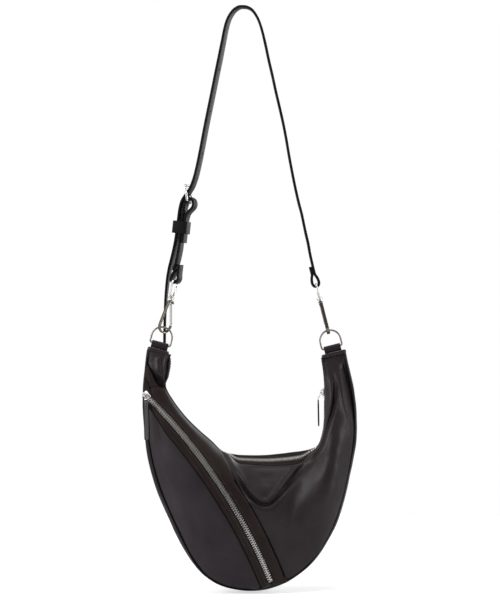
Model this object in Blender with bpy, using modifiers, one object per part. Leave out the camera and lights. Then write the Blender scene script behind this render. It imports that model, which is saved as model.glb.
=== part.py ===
"""Crossbody bag: a crescent of soft leather hung by two swivel hooks from a buckled strap.

Metres, +Z up, X to the wearer's side, -Y out of the front. The origin lies under the strap's
crown, on the face that rests on the shoulder.
"""

import math

import bmesh
import bpy
from mathutils import Matrix, Vector

MM = 0.001
STEPS = 2

# Clearances
TOUCH_GAP = 0.0003
SEAM_STEP = 0.0019
LAYER_GAP = 0.0004

# Strap
STRAP_WIDTH = 0.020
STRAP_THICKNESS = 0.0033
STRAP_TIP_WIDTH = 0.012
STRAP_TWIST = math.radians(14.0)
HOLE_DIAMETER = 0.0036
HOLE_PITCH = 0.0575
HOLES_ABOVE_PRONG = 3
HOLES_BELOW_PRONG = 2
LOOP_CLOSE = 0.0135
LOOP_SHOULDER = 0.0092
LOOP_CHEEK = 0.0045
LOOP_BULGE = 1.36
RIGHT_LOOP_RISE = 0.0240
BUCKLE_LOOP_RISE = 0.0215
KEEPER_HEIGHT = 0.0165
KEEPER_THICKNESS = 0.0020
KEEPER_PLAY = 0.0008

# Buckle
BUCKLE_WIRE = 0.0030
BUCKLE_LENGTH = 0.0210
BUCKLE_TILT = math.radians(-8.5)
PRONG_WIRE = 0.0022
PRONG_OVERHANG = 0.0022
PRONG_PLAY = 0.0012
BUCKLE_SIDE_PLAY = 0.0010
BUCKLE_CORNER = 0.0030

# Hooks and rings
EYE_WIRE = 0.0024
EYE_SPAN = 0.0256
EYE_WASHER = 0.0078
EYE_WASHER_THICKNESS = 0.0029
SWIVEL_SHAFT = 0.0026
SWIVEL_HEAD = 0.0048
SWIVEL_COLLAR = 0.0054
SWIVEL_COLLAR_HEIGHT = 0.0018
SWIVEL_HEAD_RIM = 0.0012
SWIVEL_HEAD_HEIGHT = 0.0018
SWIVEL_PLAY = 0.00035
HOOK_WIDTH_TOP = 0.0056
HOOK_WIDTH_TIP = 0.0040
HOOK_THICKNESS = 0.0024
HOOK_ROOF = 0.0414
HOOK_TURN_LEFT = math.radians(50.0)
HOOK_TURN_RIGHT = math.radians(90.0)
GATE_WIRE = 0.0011
GATE_WIDTH = 0.0036
GATE_CORNER = 0.0011
RING_WIRE = 0.0024
RING_RADIUS = 0.0138
RING_SIDE = 0.0095
RING_CORNER = 0.0026
RING_DROP_LEFT = 0.0044
RING_DROP_RIGHT = 0.0014

# Limb ends
LIMB_TILT = math.radians(14.5)
TAB_WIDTH = 0.0225
TAB_THICKNESS = 0.0020
TAB_RISE = 0.0062
HEM_HEIGHT = 0.0050
HEM_DEPTH = 0.0200
LEFT_HEM_WIDTH = 0.0290
RIGHT_HEM_WIDTH = 0.0330

# Bag leather and cloth
LIMB_TOP = -0.450
BAG_HEIGHT = 0.320
LEATHER = 0.0014
CLOTH = 0.0006
MOUTH_HALF_END = 0.0075
MOUTH_HALF_MIDDLE = 0.0095
SIDE_HALF_END = 0.0080
SIDE_HALF_MIDDLE = 0.0180
SIDE_CROWN = 0.0038
LINING_INSET = 0.0050
LINING_SKIP = 14
LINING_FRONT_SWELL = 0.011
LINING_BACK_SWELL = 0.014
POCKET_LOWER = 0.0105
POCKET_UPPER = 0.0160
POCKET_DEPTH = 0.0058

# Zips
TEETH_WIDTH = 0.0060
TEETH_THICKNESS = 0.0024
TEETH_RISE = 0.0010
STOP_WIDTH = 0.0068
FACING_GAP = 0.0009
TAPE_HALF = 0.0125
TAPE_SPLIT = 0.0004
ZIP_TURN = math.radians(18.0)
LOWER_FACING = 0.0155
LOWER_FACING_TOP = 0.0052
UPPER_FACING = 0.0200
UPPER_FACING_MIDDLE = 0.0165
UPPER_FACING_TOP = 0.0185
UPPER_FACING_LEAD = 0.04
PANEL_GAP = 0.0010
SLIDER_WIDTH = 0.0084
SLIDER_LENGTH = 0.0115
SLIDER_PLATE = 0.0012
BRIDGE_RISE = 0.0034
BRIDGE_WIRE = 0.0014
BRIDGE_SPAN = 0.56
BRIDGE_ROOT = 0.0005
CHANNEL_PLAY = 0.0007
LINK_WIRE = 0.0012
LINK_LENGTH = 0.0095
LINK_WIDTH = 0.0052
LINK_CORNER = 0.0016
PULL_GAP = 0.0010
PULL_WIDTH = 0.0066
PULL_THICKNESS = 0.0018
FRONT_PULL_LENGTH = 0.0520
TOP_PULL_LENGTH = 0.0350
MOUTH_SLIDER_HEIGHT = -0.5110
FRONT_SLIDER_SHARE = 0.012
FLAP_START = -0.02
TAPE_START = 0.04
TEETH_START = -0.012
TEETH_END = 0.955
STOP_START = 0.959
STOP_END = 0.972
TRACK_END = 0.975
POCKET_START = 0.12
POCKET_END = 0.94
FRONT_LINK_HANG = (0.02, -1.0, -0.80)
FRONT_PULL_HANG = (0.02, -0.02, -1.0)
MOUTH_LINK_HANG = (-0.55, 0.0, -1.0)
MOUTH_PULL_HANG = (0.02, 0.0, -1.0)

# Places of the fittings, X and Z in millimetres
LEFT_CONTACT = (-105.2, -424.0)
RIGHT_CONTACT = (112.0, -428.1)
LEFT_EYE_BAR = (-90.2, -361.4)
RIGHT_EYE_BAR = (96.2, -366.6)
HEEL_BAR = (-71.3, -256.7)
KEEPER_PLACE = -291.4

# Strap's centre line, X and Z in millimetres, from the right hook over the crown to the tail
RIGHT_LEG = [
    (88.2, -326.0), (85.6, -312.0), (82.2, -297.3), (77.5, -274.6), (73.0, -257.4),
    (68.5, -237.4), (64.5, -217.5), (60.5, -196.2), (56.9, -174.9), (52.8, -153.6),
    (48.0, -132.3), (43.0, -111.1), (38.4, -89.8), (33.4, -68.5), (28.9, -47.2),
    (23.9, -27.0), (19.0, -13.6), (12.6, -3.6), (6.0, 0.7), (0.0, 1.65),
]
LEFT_LEG = [
    (-6.0, 0.9), (-12.4, -3.6), (-18.6, -13.0), (-22.8, -25.9), (-27.0, -47.2),
    (-31.1, -68.5), (-35.4, -89.8), (-39.6, -111.1), (-43.9, -132.3), (-48.3, -153.6),
    (-52.4, -174.9), (-56.5, -196.2), (-60.5, -214.8), (-64.1, -228.1), (-68.6, -239.4),
    (-74.6, -248.2), (-79.6, -256.4), (-82.4, -266.2), (-84.2, -278.6), (-85.9, -291.9),
    (-87.7, -305.2),
]
TAIL = [
    (-90.4, -318.5), (-93.9, -331.8), (-97.6, -345.0), (-100.4, -358.4), (-102.5, -374.4),
    (-104.0, -390.4), (-105.2, -411.6), (-105.7, -432.9), (-105.9, -456.9),
]
TAIL_BACK = [-2.5, 0.5, 5.0, 9.5, 14.5, 18.5, 21.5, 23.0, 23.5]
# How far the width has turned from the right leg's direction (0) to the left leg's (1)
CROWN_TURN = [0.1, 0.2, 0.3, 0.4, 0.5, 0.6, 0.7, 0.8, 0.9, 0.95]
TAIL_TURN = [0.9, 0.75, 0.6, 0.45, 0.3, 0.15, 0.0, 0.0, 0.0]
# Fold round the buckle's heel bar: side and up, as shares of the leather's reach from the bar
HEEL_FOLD = [
    (-1.02, -3.38), (-1.04, -1.55), (-1.04, -0.14), (-0.80, 0.73), (-0.10, 1.10), (0.95, 1.00),
    (1.85, 0.225), (2.25, -1.07), (1.95, -2.366), (1.18, -3.662), (0.58, -4.93),
]
# Buckle strap's middle line between its two layers, X and Z in millimetres
BUCKLE_LINE = [
    (-89.0, -347.5), (-85.6, -337.2), (-82.6, -323.9), (-80.9, -311.9), (-79.4, -297.3),
    (-77.9, -284.0),
]

# Bag outlines, X and Z in millimetres, from the left limb round the bottom to the right limb
OUTER_EDGE = [
    (-129.4, -456.0), (-131.2, -467.5), (-132.9, -486.1), (-134.2, -515.4), (-133.7, -547.3),
    (-131.5, -573.9), (-127.4, -599.2), (-121.4, -623.1), (-113.2, -647.0), (-102.7, -671.7),
    (-91.9, -694.6), (-79.9, -717.5), (-66.5, -738.5), (-51.2, -754.9), (-30.3, -767.5),
    (-4.7, -773.9), (20.1, -773.9), (46.2, -767.5), (69.6, -755.8), (91.0, -738.2),
    (108.4, -714.9), (123.4, -685.9), (135.2, -650.2), (143.2, -615.1), (148.3, -585.9),
    (150.8, -555.9), (150.2, -530.0), (145.9, -500.2), (140.8, -476.6), (137.4, -460.6),
]
# Inner edge of the front with the place on the outer side that each point faces:
# "edge" is a point of the outline, "flap" a corner of the facing's upper end and "seam" a
# share of the slanting zip's length
FRONT_STATIONS = [
    ((-97.4, -463.8), "edge", (-128.6, -456.0)),
    ((-96.6, -471.5), "edge", (-129.6, -469.0)),
    ((-99.6, -488.8), "flap", 1),
    ((-104.0, -502.9), "seam", 0.03),
    ((-94.2, -521.2), "seam", 0.11),
    ((-77.8, -542.8), "seam", 0.21),
    ((-59.2, -561.3), "seam", 0.31),
    ((-43.2, -575.2), "seam", 0.40),
    ((-27.5, -590.6), "seam", 0.49),
    ((-9.3, -603.2), "seam", 0.59),
    ((8.6, -605.6), "seam", 0.69),
    ((28.6, -607.0), "seam", 0.80),
    ((48.5, -607.0), "seam", 0.89),
    ((65.8, -605.8), "seam", 0.97),
    ((79.9, -601.8), "edge", (63.0, -758.5)),
    ((91.1, -593.8), "edge", (94.0, -733.0)),
    ((98.7, -582.5), "edge", (114.5, -702.0)),
    ((104.0, -566.5), "edge", (130.4, -662.0)),
    ((106.9, -547.3), "edge", (141.6, -620.0)),
    ((107.3, -520.7), "edge", (148.8, -566.5)),
    ((107.6, -500.7), "edge", (147.4, -520.7)),
    ((106.0, -482.1), "edge", (142.2, -490.0)),
    ((103.8, -468.2), "edge", (134.9, -460.6)),
]
BACK_RIM = [
    (-97.4, -463.8), (-96.6, -471.5), (-99.6, -488.8), (-104.0, -502.9), (-94.2, -521.2),
    (-77.8, -542.8), (-59.2, -561.3), (-43.2, -575.2), (-27.9, -588.8), (-10.4, -593.4),
    (8.6, -594.4), (28.6, -594.2), (48.5, -592.4), (64.0, -590.4), (78.5, -588.6),
    (90.1, -585.8), (98.7, -580.5), (104.0, -566.5), (106.9, -547.3), (107.3, -520.7),
    (107.6, -500.7), (106.0, -482.1), (103.8, -468.2),
]
FRONT_SWELL = [
    2.0, 3.0, 3.5, 3.0, 3.0, 4.0, 5.0, 6.0, 7.0, 9.0, 11.0, 13.0,
    16.0, 21.0, 25.0, 26.0, 25.0, 22.0, 18.0, 12.0, 8.0, 4.0, 2.0,
]
BACK_SWELL = [
    2.0, 3.0, 4.0, 5.0, 6.0, 9.0, 12.0, 16.0, 19.0, 22.0, 24.0, 25.0,
    25.0, 24.0, 23.0, 21.0, 19.0, 16.0, 12.0, 9.0, 6.0, 4.0, 2.0,
]
# Upper end of the upper facing, above the slider: its side next to the outline and its far side
FLAP_NEAR = [(-130.2, -12.6, -472.5), (-131.2, -13.0, -486.0), (-129.4, -15.0, -498.0)]
FLAP_FAR = [(-127.6, -12.4, -470.9), (-121.4, -13.4, -482.4), (-116.6, -14.4, -495.0)]
# Slanting zip: three points of its row of teeth, in millimetres
ZIP_TOP = (-130.4, -18.0, -512.0)
ZIP_MIDDLE = (-33.6, -48.0, -625.4)
ZIP_END = (36.8, -24.5, -761.2)
LOWER_STATIONS = [
    (0.05, (-132.0, -520.0)),
    (0.15, (-131.0, -550.0)),
    (0.25, (-128.4, -577.0)),
    (0.35, (-121.9, -606.0)),
    (0.45, (-111.0, -637.0)),
    (0.55, (-98.6, -667.5)),
    (0.65, (-85.6, -695.0)),
    (0.75, (-70.0, -722.0)),
    (0.84, (-51.5, -746.5)),
    (0.895, (-34.0, -760.0)),
    (0.94, (-12.0, -768.0)),
    (0.965, (9.0, -770.0)),
]
LOWER_SWELL = [0.5, 2.0, 4.0, 6.0, 7.5, 8.5, 8.5, 7.0, 4.5, 2.5, 1.0, 0.3]
# Ends of the facings in the bottom seam, outer and inner corner
LOWER_FACING_END = [(15.0, -770.0), (31.0, -769.0)]
UPPER_FACING_END = [(42.0, -767.0), (58.0, -761.0)]

BLACK = (0.012, 0.011, 0.011, 1.0)
SOFT_BLACK = (0.018, 0.016, 0.016, 1.0)
BROWN_BLACK = (0.022, 0.017, 0.014, 1.0)
CLOTH_BLACK = (0.010, 0.010, 0.011, 1.0)
SILVER = (0.72, 0.71, 0.69, 1.0)
NICKEL = (0.60, 0.59, 0.56, 1.0)


def clear_scene():
    """Empties the scene."""
    for item in list(bpy.data.objects):
        bpy.data.objects.remove(item, do_unlink=True)


clear_scene()
PARTS = bpy.data.collections.new("crossbody_bag")
CUTTERS = bpy.data.collections.new("cutters")
bpy.context.scene.collection.children.link(PARTS)
bpy.context.scene.collection.children.link(CUTTERS)


def make_material(name, colour, roughness, metallic):
    """One Principled material."""
    material = bpy.data.materials.new(name)
    material.use_nodes = True
    shader = material.node_tree.nodes["Principled BSDF"]
    shader.inputs["Base Color"].default_value = colour
    shader.inputs["Roughness"].default_value = roughness
    shader.inputs["Metallic"].default_value = metallic
    material.diffuse_color = colour
    return material


STRAP_LEATHER = make_material("strap_leather", BLACK, 0.45, 0.0)
BAG_LEATHER = make_material("bag_leather", SOFT_BLACK, 0.42, 0.0)
FACING_LEATHER = make_material("facing_leather", BROWN_BLACK, 0.50, 0.0)
LINING_CLOTH = make_material("lining_cloth", CLOTH_BLACK, 0.85, 0.0)
TAPE_CLOTH = make_material("tape_cloth", CLOTH_BLACK, 0.80, 0.0)
POLISHED = make_material("polished_nickel", SILVER, 0.18, 1.0)
TEETH_METAL = make_material("teeth_metal", NICKEL, 0.30, 1.0)


def add_object(name, mesh, material, collection=PARTS):
    """An object for a mesh or a curve, with its material."""
    item = bpy.data.objects.new(name, mesh)
    if material is not None:
        mesh.materials.append(material)
    collection.objects.link(item)
    return item


def as_cutter(item):
    """Moves an object to the cutters and hides it from the render."""
    for holder in list(item.users_collection):
        holder.objects.unlink(item)
    CUTTERS.objects.link(item)
    item.hide_render = True
    item.display_type = "WIRE"
    return item


def put_origin(item, point):
    """Moves an object's origin to a point without moving its shape."""
    shift = Matrix.Translation(item.location - point)
    item.data.transform(shift)
    item.location = point


def smooth_through(points, steps):
    """Points of a smooth curve through the given ones, a number of steps for each stretch."""
    last = len(points) - 1
    result = []
    for index in range(last):
        before = points[max(index - 1, 0)]
        start = points[index]
        end = points[index + 1]
        after = points[min(index + 2, last)]
        for step in range(steps):
            t = step / steps
            linear = (end - before) * t
            square = (before * 2 - start * 5 + end * 4 - after) * t ** 2
            cube = (start * 3 - before - end * 3 + after) * t ** 3
            result.append((start * 2 + linear + square + cube) * 0.5)
    result.append(points[last].copy())
    return result


def smooth_numbers(values, steps):
    """Numbers between the given ones, eased over each stretch."""
    result = []
    for start, end in zip(values, values[1:]):
        for step in range(steps):
            t = step / steps
            result.append(start + (end - start) * t)
    result.append(values[-1])
    return result


def mesh_from(name, verts, faces):
    """A mesh of the given points and faces."""
    mesh = bpy.data.meshes.new(name)
    mesh.from_pydata(verts, [], faces)
    mesh.update()
    return mesh


def add_solidify(item, thickness, offset, even):
    """Gives an open surface its thickness."""
    modifier = item.modifiers.new("thickness", "SOLIDIFY")
    modifier.thickness = thickness
    modifier.offset = offset
    modifier.use_even_offset = even


def add_boolean(item, other, operation):
    """Cuts or joins one object with another."""
    modifier = item.modifiers.new(operation.lower(), "BOOLEAN")
    modifier.operation = operation
    modifier.solver = "EXACT"
    modifier.object = other
    return modifier


def make_ribbon(name, centre, across, widths, thickness, material, closed=False):
    """A strip of even thickness along a line; across gives its width's direction."""
    verts = []
    for point, side, width in zip(centre, across, widths):
        verts.append(point - side * width / 2)
        verts.append(point + side * width / 2)
    count = len(centre)
    stretches = count if closed else count - 1
    faces = []
    for index in range(stretches):
        near = 2 * index
        far = 2 * ((index + 1) % count)
        faces.append((near, near + 1, far + 1, far))
    item = add_object(name, mesh_from(name, verts, faces), material)
    add_solidify(item, thickness, 0.0, True)
    return item


def make_patch(name, edge_a, edge_b, columns, swell, outward, thickness, material):
    """A panel between two edges, swollen outwards, with its thickness inwards."""
    rows = len(edge_a)
    verts = []
    for row in range(rows):
        for column in range(columns + 1):
            t = column / columns
            point = edge_a[row].lerp(edge_b[row], t)
            verts.append(point + outward(row) * swell(row, t))
    faces = []
    width = columns + 1
    for row in range(rows - 1):
        for column in range(columns):
            corner = row * width + column
            faces.append((corner, corner + 1, corner + 1 + width, corner + width))
    mesh = mesh_from(name, verts, faces)
    facing = Vector((0.0, 0.0, 0.0))
    for polygon in mesh.polygons:
        row = polygon.index // columns
        facing += Vector((outward(row).dot(polygon.normal) * polygon.area, 0.0, 0.0))
    if facing.x < 0.0:
        mesh.flip_normals()
    item = add_object(name, mesh, material)
    add_solidify(item, thickness, -1.0, False)
    for polygon in mesh.polygons:
        polygon.use_smooth = True
    return item


def make_wire(name, points, diameter, material, closed=False, collection=PARTS):
    """A round wire along points, its ends capped."""
    curve = bpy.data.curves.new(name, "CURVE")
    curve.dimensions = "3D"
    curve.bevel_depth = diameter / 2
    curve.bevel_resolution = 2
    curve.use_fill_caps = True
    curve.twist_mode = "MINIMUM"
    spline = curve.splines.new("POLY")
    spline.points.add(len(points) - 1)
    for place, point in zip(spline.points, points):
        place.co = (point.x, point.y, point.z, 1.0)
    spline.use_cyclic_u = closed
    return add_object(name, curve, material, collection)


def to_mesh_object(item):
    """Turns a curve object into a closed mesh object of the same name and place."""
    bpy.context.view_layer.update()
    graph = bpy.context.evaluated_depsgraph_get()
    mesh = bpy.data.meshes.new_from_object(item.evaluated_get(graph))
    work = bmesh.new()
    work.from_mesh(mesh)
    bmesh.ops.remove_doubles(work, verts=work.verts, dist=0.00001)
    bmesh.ops.recalc_face_normals(work, faces=work.faces)
    work.to_mesh(mesh)
    work.free()
    name = item.name
    holder = item.users_collection[0]
    matrix = item.matrix_world.copy()
    bpy.data.objects.remove(item, do_unlink=True)
    result = bpy.data.objects.new(name, mesh)
    result.matrix_world = matrix
    holder.objects.link(result)
    return result


def make_cylinder(name, centre, direction, diameter, length, material=None, sides=16):
    """A cylinder about a centre along a direction."""
    work = bmesh.new()
    turn = Vector((0.0, 0.0, 1.0)).rotation_difference(direction).to_matrix().to_4x4()
    bmesh.ops.create_cone(
        work,
        cap_ends=True,
        segments=sides,
        radius1=diameter / 2,
        radius2=diameter / 2,
        depth=length,
        matrix=Matrix.Translation(centre) @ turn,
    )
    mesh = bpy.data.meshes.new(name)
    work.to_mesh(mesh)
    work.free()
    return add_object(name, mesh, material)


def make_block(name, centre, axes, size, material, bevel=0.0):
    """A block about a centre with its sides along three directions."""
    work = bmesh.new()
    bmesh.ops.create_cube(work, size=1.0)
    turn = Matrix((axes[0] * size[0], axes[1] * size[1], axes[2] * size[2])).transposed()
    bmesh.ops.transform(work, matrix=turn.to_4x4(), verts=work.verts)
    bmesh.ops.translate(work, vec=centre, verts=work.verts)
    bmesh.ops.recalc_face_normals(work, faces=work.faces)
    mesh = bpy.data.meshes.new(name)
    work.to_mesh(mesh)
    work.free()
    item = add_object(name, mesh, material)
    if bevel > 0.0:
        modifier = item.modifiers.new("rounding", "BEVEL")
        modifier.width = bevel
        modifier.segments = 2
    return item


class Placing:
    """A local frame: an origin and three directions."""

    def __init__(self, origin, side, up):
        self.origin = origin
        self.side = side.normalized()
        self.up = up.normalized()
        self.depth = self.side.cross(self.up).normalized()

    def point(self, side, up, depth=0.0):
        """A point given along the frame's directions."""
        return self.origin + self.side * side + self.up * up + self.depth * depth

    def points(self, pairs, scale=MM):
        """Points given as side and up."""
        return [self.point(side * scale, up * scale) for side, up in pairs]


def flat_point(pair):
    """A point of the right leg's plane, from X and Z in millimetres."""
    return Vector((pair[0] * MM, 0.0, pair[1] * MM))


def turned_point(pair):
    """A point of the left leg's plane, which is turned about the contact of hook and ring."""
    back = -(pair[0] - LEFT_CONTACT[0]) * math.tan(STRAP_TWIST)
    return Vector((pair[0] * MM, back * MM, pair[1] * MM))


LEFT_ACROSS = Vector((math.sin(STRAP_TWIST), math.cos(STRAP_TWIST), 0.0))
STRAIGHT_ACROSS = Vector((0.0, 1.0, 0.0))


def squared_across(centre, wanted):
    """Width directions made square to the line that they belong to."""
    result = []
    last = len(centre) - 1
    for index, side in enumerate(wanted):
        tangent = (centre[min(index + 1, last)] - centre[max(index - 1, 0)]).normalized()
        result.append((side - tangent * side.dot(tangent)).normalized())
    return result


def blend_across(share):
    """The width's direction between the right leg's (0) and the left leg's (1)."""
    angle = STRAP_TWIST * share
    return Vector((math.sin(angle), math.cos(angle), 0.0))


# Leather loop round an eye's bar: side and up of its centre line from the bar's middle
LAYER_OFFSET = STRAP_THICKNESS / 2 + LAYER_GAP / 2
LOOP_BOTTOM = EYE_WIRE / 2 + LAYER_GAP + STRAP_THICKNESS / 2


def eye_loop(frame, rise_back, rise_front):
    """The strap's loop round an eye's bar, from its back layer to its front layer."""
    wide = LOOP_BOTTOM * LOOP_BULGE
    pairs = [
        (-LAYER_OFFSET, rise_back),
        (-LAYER_OFFSET, (rise_back + LOOP_CLOSE) / 2),
        (-LAYER_OFFSET, LOOP_CLOSE),
        (-LAYER_OFFSET - 0.0015, LOOP_SHOULDER),
        (-wide, LOOP_CHEEK),
        (-wide * 0.97, 0.0005),
        (-wide * 0.62, -LOOP_BOTTOM * 0.72),
        (0.0, -LOOP_BOTTOM),
        (wide * 0.62, -LOOP_BOTTOM * 0.72),
        (wide * 0.97, 0.0005),
        (wide, LOOP_CHEEK),
        (LAYER_OFFSET + 0.0015, LOOP_SHOULDER),
        (LAYER_OFFSET, LOOP_CLOSE),
        (LAYER_OFFSET, rise_front),
    ]
    return [frame.point(side, up) for side, up in pairs]


def direction_up(low, high):
    """The unit direction from one point to a higher one."""
    return (high - low).normalized()


# Frames of the two hooks: origin at the ring's wire, up along the hook
left_contact = turned_point(LEFT_CONTACT)
right_contact = flat_point(RIGHT_CONTACT)
left_bar = turned_point(LEFT_EYE_BAR)
right_bar = flat_point(RIGHT_EYE_BAR)
left_up = direction_up(left_contact, left_bar)
right_up = direction_up(right_contact, right_bar)
left_side = LEFT_ACROSS.cross(left_up)
right_side = STRAIGHT_ACROSS.cross(right_up)


def build_straps():
    """Long strap, buckle strap, keeper, buckle frame and prong."""
    right_frame = Placing(right_bar, right_side, right_up)
    loop = eye_loop(right_frame, RIGHT_LOOP_RISE, RIGHT_LOOP_RISE)
    leg = [flat_point(pair) for pair in RIGHT_LEG]
    crown = []
    for pair in LEFT_LEG:
        point = turned_point(pair)
        share = min(max(-pair[1] / 150.0, 0.0), 1.0)
        point.y *= share * share * (3.0 - 2.0 * share)
        crown.append(point)
    tail = []
    for pair, back in zip(TAIL, TAIL_BACK):
        tail.append(Vector((pair[0] * MM, back * MM, pair[1] * MM)))
    knots = loop + leg + crown + tail
    shares = [0.0] * (len(loop) + len(leg) - len(CROWN_TURN) // 2)
    shares += CROWN_TURN
    shares += [1.0] * (len(loop) + len(leg) + len(crown) - len(shares))
    shares += TAIL_TURN
    centre = smooth_through(knots, STEPS)
    wanted = [blend_across(share) for share in smooth_numbers(shares, STEPS)]
    across = squared_across(centre, wanted)
    shoulder = (STRAP_WIDTH * 3 + STRAP_TIP_WIDTH) / 4
    widths = [STRAP_WIDTH] * (len(centre) - 2) + [shoulder, STRAP_TIP_WIDTH]
    strap = make_ribbon("long_strap", centre, across, widths, STRAP_THICKNESS, STRAP_LEATHER)

    heel = turned_point(HEEL_BAR)
    across_frame = left_side_of_buckle()
    frame = Placing(heel, across_frame[0], across_frame[1])
    build_buckle(frame)
    prong_line = build_prong(frame)
    punch_holes(strap, centre, across, prong_line)
    build_buckle_strap(frame, heel)
    build_keeper()


def left_side_of_buckle():
    """The buckle frame's own directions: square to its plane, and from heel bar to far bar."""
    turn = Matrix.Rotation(BUCKLE_TILT, 3, LEFT_ACROSS)
    up = turn @ Vector((0.0, 0.0, 1.0))
    return LEFT_ACROSS.cross(up).normalized(), up


def rounded_loop(half_wide, low, high, corner, steps):
    """Points round a rectangle with rounded corners, as pairs."""
    centres = [
        (half_wide - corner, high - corner, 0.0),
        (-half_wide + corner, high - corner, 90.0),
        (-half_wide + corner, low + corner, 180.0),
        (half_wide - corner, low + corner, 270.0),
    ]
    pairs = []
    for wide, tall, start in centres:
        for step in range(steps + 1):
            angle = math.radians(start + 90.0 * step / steps)
            pairs.append((wide + corner * math.cos(angle), tall + corner * math.sin(angle)))
    return pairs


def build_buckle(frame):
    """The buckle's wire frame, which turns about its heel bar."""
    half = STRAP_WIDTH / 2 + BUCKLE_SIDE_PLAY + BUCKLE_WIRE / 2
    points = []
    for wide, tall in rounded_loop(half, 0.0, BUCKLE_LENGTH, BUCKLE_CORNER, 4):
        points.append(frame.point(0.0, tall, wide))
    item = make_wire("buckle_frame", points, BUCKLE_WIRE, POLISHED, closed=True)
    put_origin(item, frame.origin)


def build_prong(frame):
    """The prong, curled round the heel bar, its tip laid over the far bar."""
    reach = BUCKLE_WIRE / 2 + TOUCH_GAP + PRONG_WIRE / 2
    points = []
    for step in range(9):
        angle = math.radians(-60.0 - 30.0 * step)
        points.append(frame.point(reach * math.cos(angle), reach * math.sin(angle)))
    curl = points[::-1]
    line = [frame.point(-reach, BUCKLE_LENGTH * share) for share in (0.2, 0.4, 0.6, 0.8, 1.0)]
    tip = frame.point(-reach + 0.0003, BUCKLE_LENGTH + PRONG_OVERHANG)
    curl_kept = [point for point in curl[::-1] if (point - frame.origin).dot(frame.side) > -reach]
    chain = curl_kept + line + [tip]
    item = make_wire("buckle_prong", chain, PRONG_WIRE, POLISHED)
    put_origin(item, frame.origin)
    return line[0], line[-1]


def punch_holes(strap, centre, across, prong_line):
    """Round holes along the strap at even spacing from the one that the prong uses."""
    low, high = prong_line
    direction = (high - low).normalized()
    nearest = min(
        range(len(centre)),
        key=lambda index: line_distance(centre[index], low, direction),
    )
    clearance = PRONG_WIRE + PRONG_PLAY
    middle = low + direction * (centre[nearest] - low).dot(direction)
    cutter = make_cylinder("prong_hole", middle, direction, clearance, 0.022)
    add_boolean(strap, as_cutter(cutter), "DIFFERENCE")
    for count in range(-HOLES_ABOVE_PRONG, HOLES_BELOW_PRONG + 1):
        if count == 0:
            continue
        index = walk(centre, nearest, count * HOLE_PITCH)
        tangent = (centre[index + 1] - centre[index - 1]).normalized()
        normal = tangent.cross(across[index])
        name = "strap_hole_%d" % (count + HOLES_ABOVE_PRONG)
        cutter = make_cylinder(name, centre[index], normal, HOLE_DIAMETER, STRAP_THICKNESS * 3)
        add_boolean(strap, as_cutter(cutter), "DIFFERENCE")


def line_distance(point, start, direction):
    """The distance from a point to a line."""
    return (point - start).cross(direction).length


def walk(centre, start, distance):
    """The index that lies a distance along the line from another index."""
    step = 1 if distance > 0 else -1
    index = start
    left = abs(distance)
    while left > 0.0 and 1 < index < len(centre) - 2:
        left -= (centre[index + step] - centre[index]).length
        index += step
    return index


def build_buckle_strap(frame, heel):
    """The short strap: round the left eye below and round the heel bar above."""
    eye_frame = Placing(left_bar, left_side, left_up)
    loop = eye_loop(eye_frame, LOOP_CLOSE, LOOP_CLOSE)
    knots = [turned_point(pair) for pair in BUCKLE_LINE]
    last = len(knots) - 1
    sides = []
    for index in range(last + 1):
        tangent = (knots[min(index + 1, last)] - knots[max(index - 1, 0)]).normalized()
        sides.append(LEFT_ACROSS.cross(tangent).normalized())
    front = [knot - side * LAYER_OFFSET for knot, side in zip(knots, sides)]
    back = [knot + side * LAYER_OFFSET for knot, side in zip(knots, sides)]
    reach = BUCKLE_WIRE / 2 + LAYER_GAP + STRAP_THICKNESS / 2
    down = (knots[-1] - heel).normalized()
    fold_frame = Placing(heel, LEFT_ACROSS.cross(-down), -down)
    fold = [fold_frame.point(side * reach, up * reach) for side, up in HEEL_FOLD]
    line = loop[2:12]
    top = front[:-1] + fold + back[::-1]
    knots_all = [eye_frame.point(LAYER_OFFSET, BUCKLE_LOOP_RISE)] + line[::-1] + top[:-3]
    centre = smooth_through(knots_all, STEPS)
    across = squared_across(centre, [LEFT_ACROSS] * len(centre))
    widths = [STRAP_WIDTH] * len(centre)
    strap = make_ribbon("buckle_strap", centre, across, widths, STRAP_THICKNESS, STRAP_LEATHER)
    slot_width = PRONG_WIRE + PRONG_PLAY
    slot = make_block(
        "prong_slot",
        frame.point(0.0015, 0.0015),
        (frame.side, frame.up, frame.depth),
        (0.0160, 0.0150, slot_width),
        None,
    )
    add_boolean(strap, as_cutter(slot), "DIFFERENCE")


def build_keeper():
    """The loop that holds the tail against the buckle strap."""
    tail = turned_point((-85.9, KEEPER_PLACE))
    inner = turned_point((-78.8, KEEPER_PLACE))
    up = (turned_point(BUCKLE_LINE[-1]) - turned_point(BUCKLE_LINE[-3])).normalized()
    side = LEFT_ACROSS.cross(up).normalized()
    middle = (tail + inner) / 2
    reach = (inner - tail).length / 2
    half_deep = reach + LAYER_OFFSET + STRAP_THICKNESS / 2 + KEEPER_PLAY + KEEPER_THICKNESS / 2
    half_wide = STRAP_WIDTH / 2 + KEEPER_PLAY + KEEPER_THICKNESS / 2
    centre = []
    for wide, deep in rounded_loop(half_wide, -half_deep, half_deep, 0.0016, 3):
        centre.append(middle + LEFT_ACROSS * wide + side * deep)
    across = [up] * len(centre)
    widths = [KEEPER_HEIGHT] * len(centre)
    item = make_ribbon(
        "keeper", centre, across, widths, KEEPER_THICKNESS, STRAP_LEATHER, closed=True
    )
    put_origin(item, middle)


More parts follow.
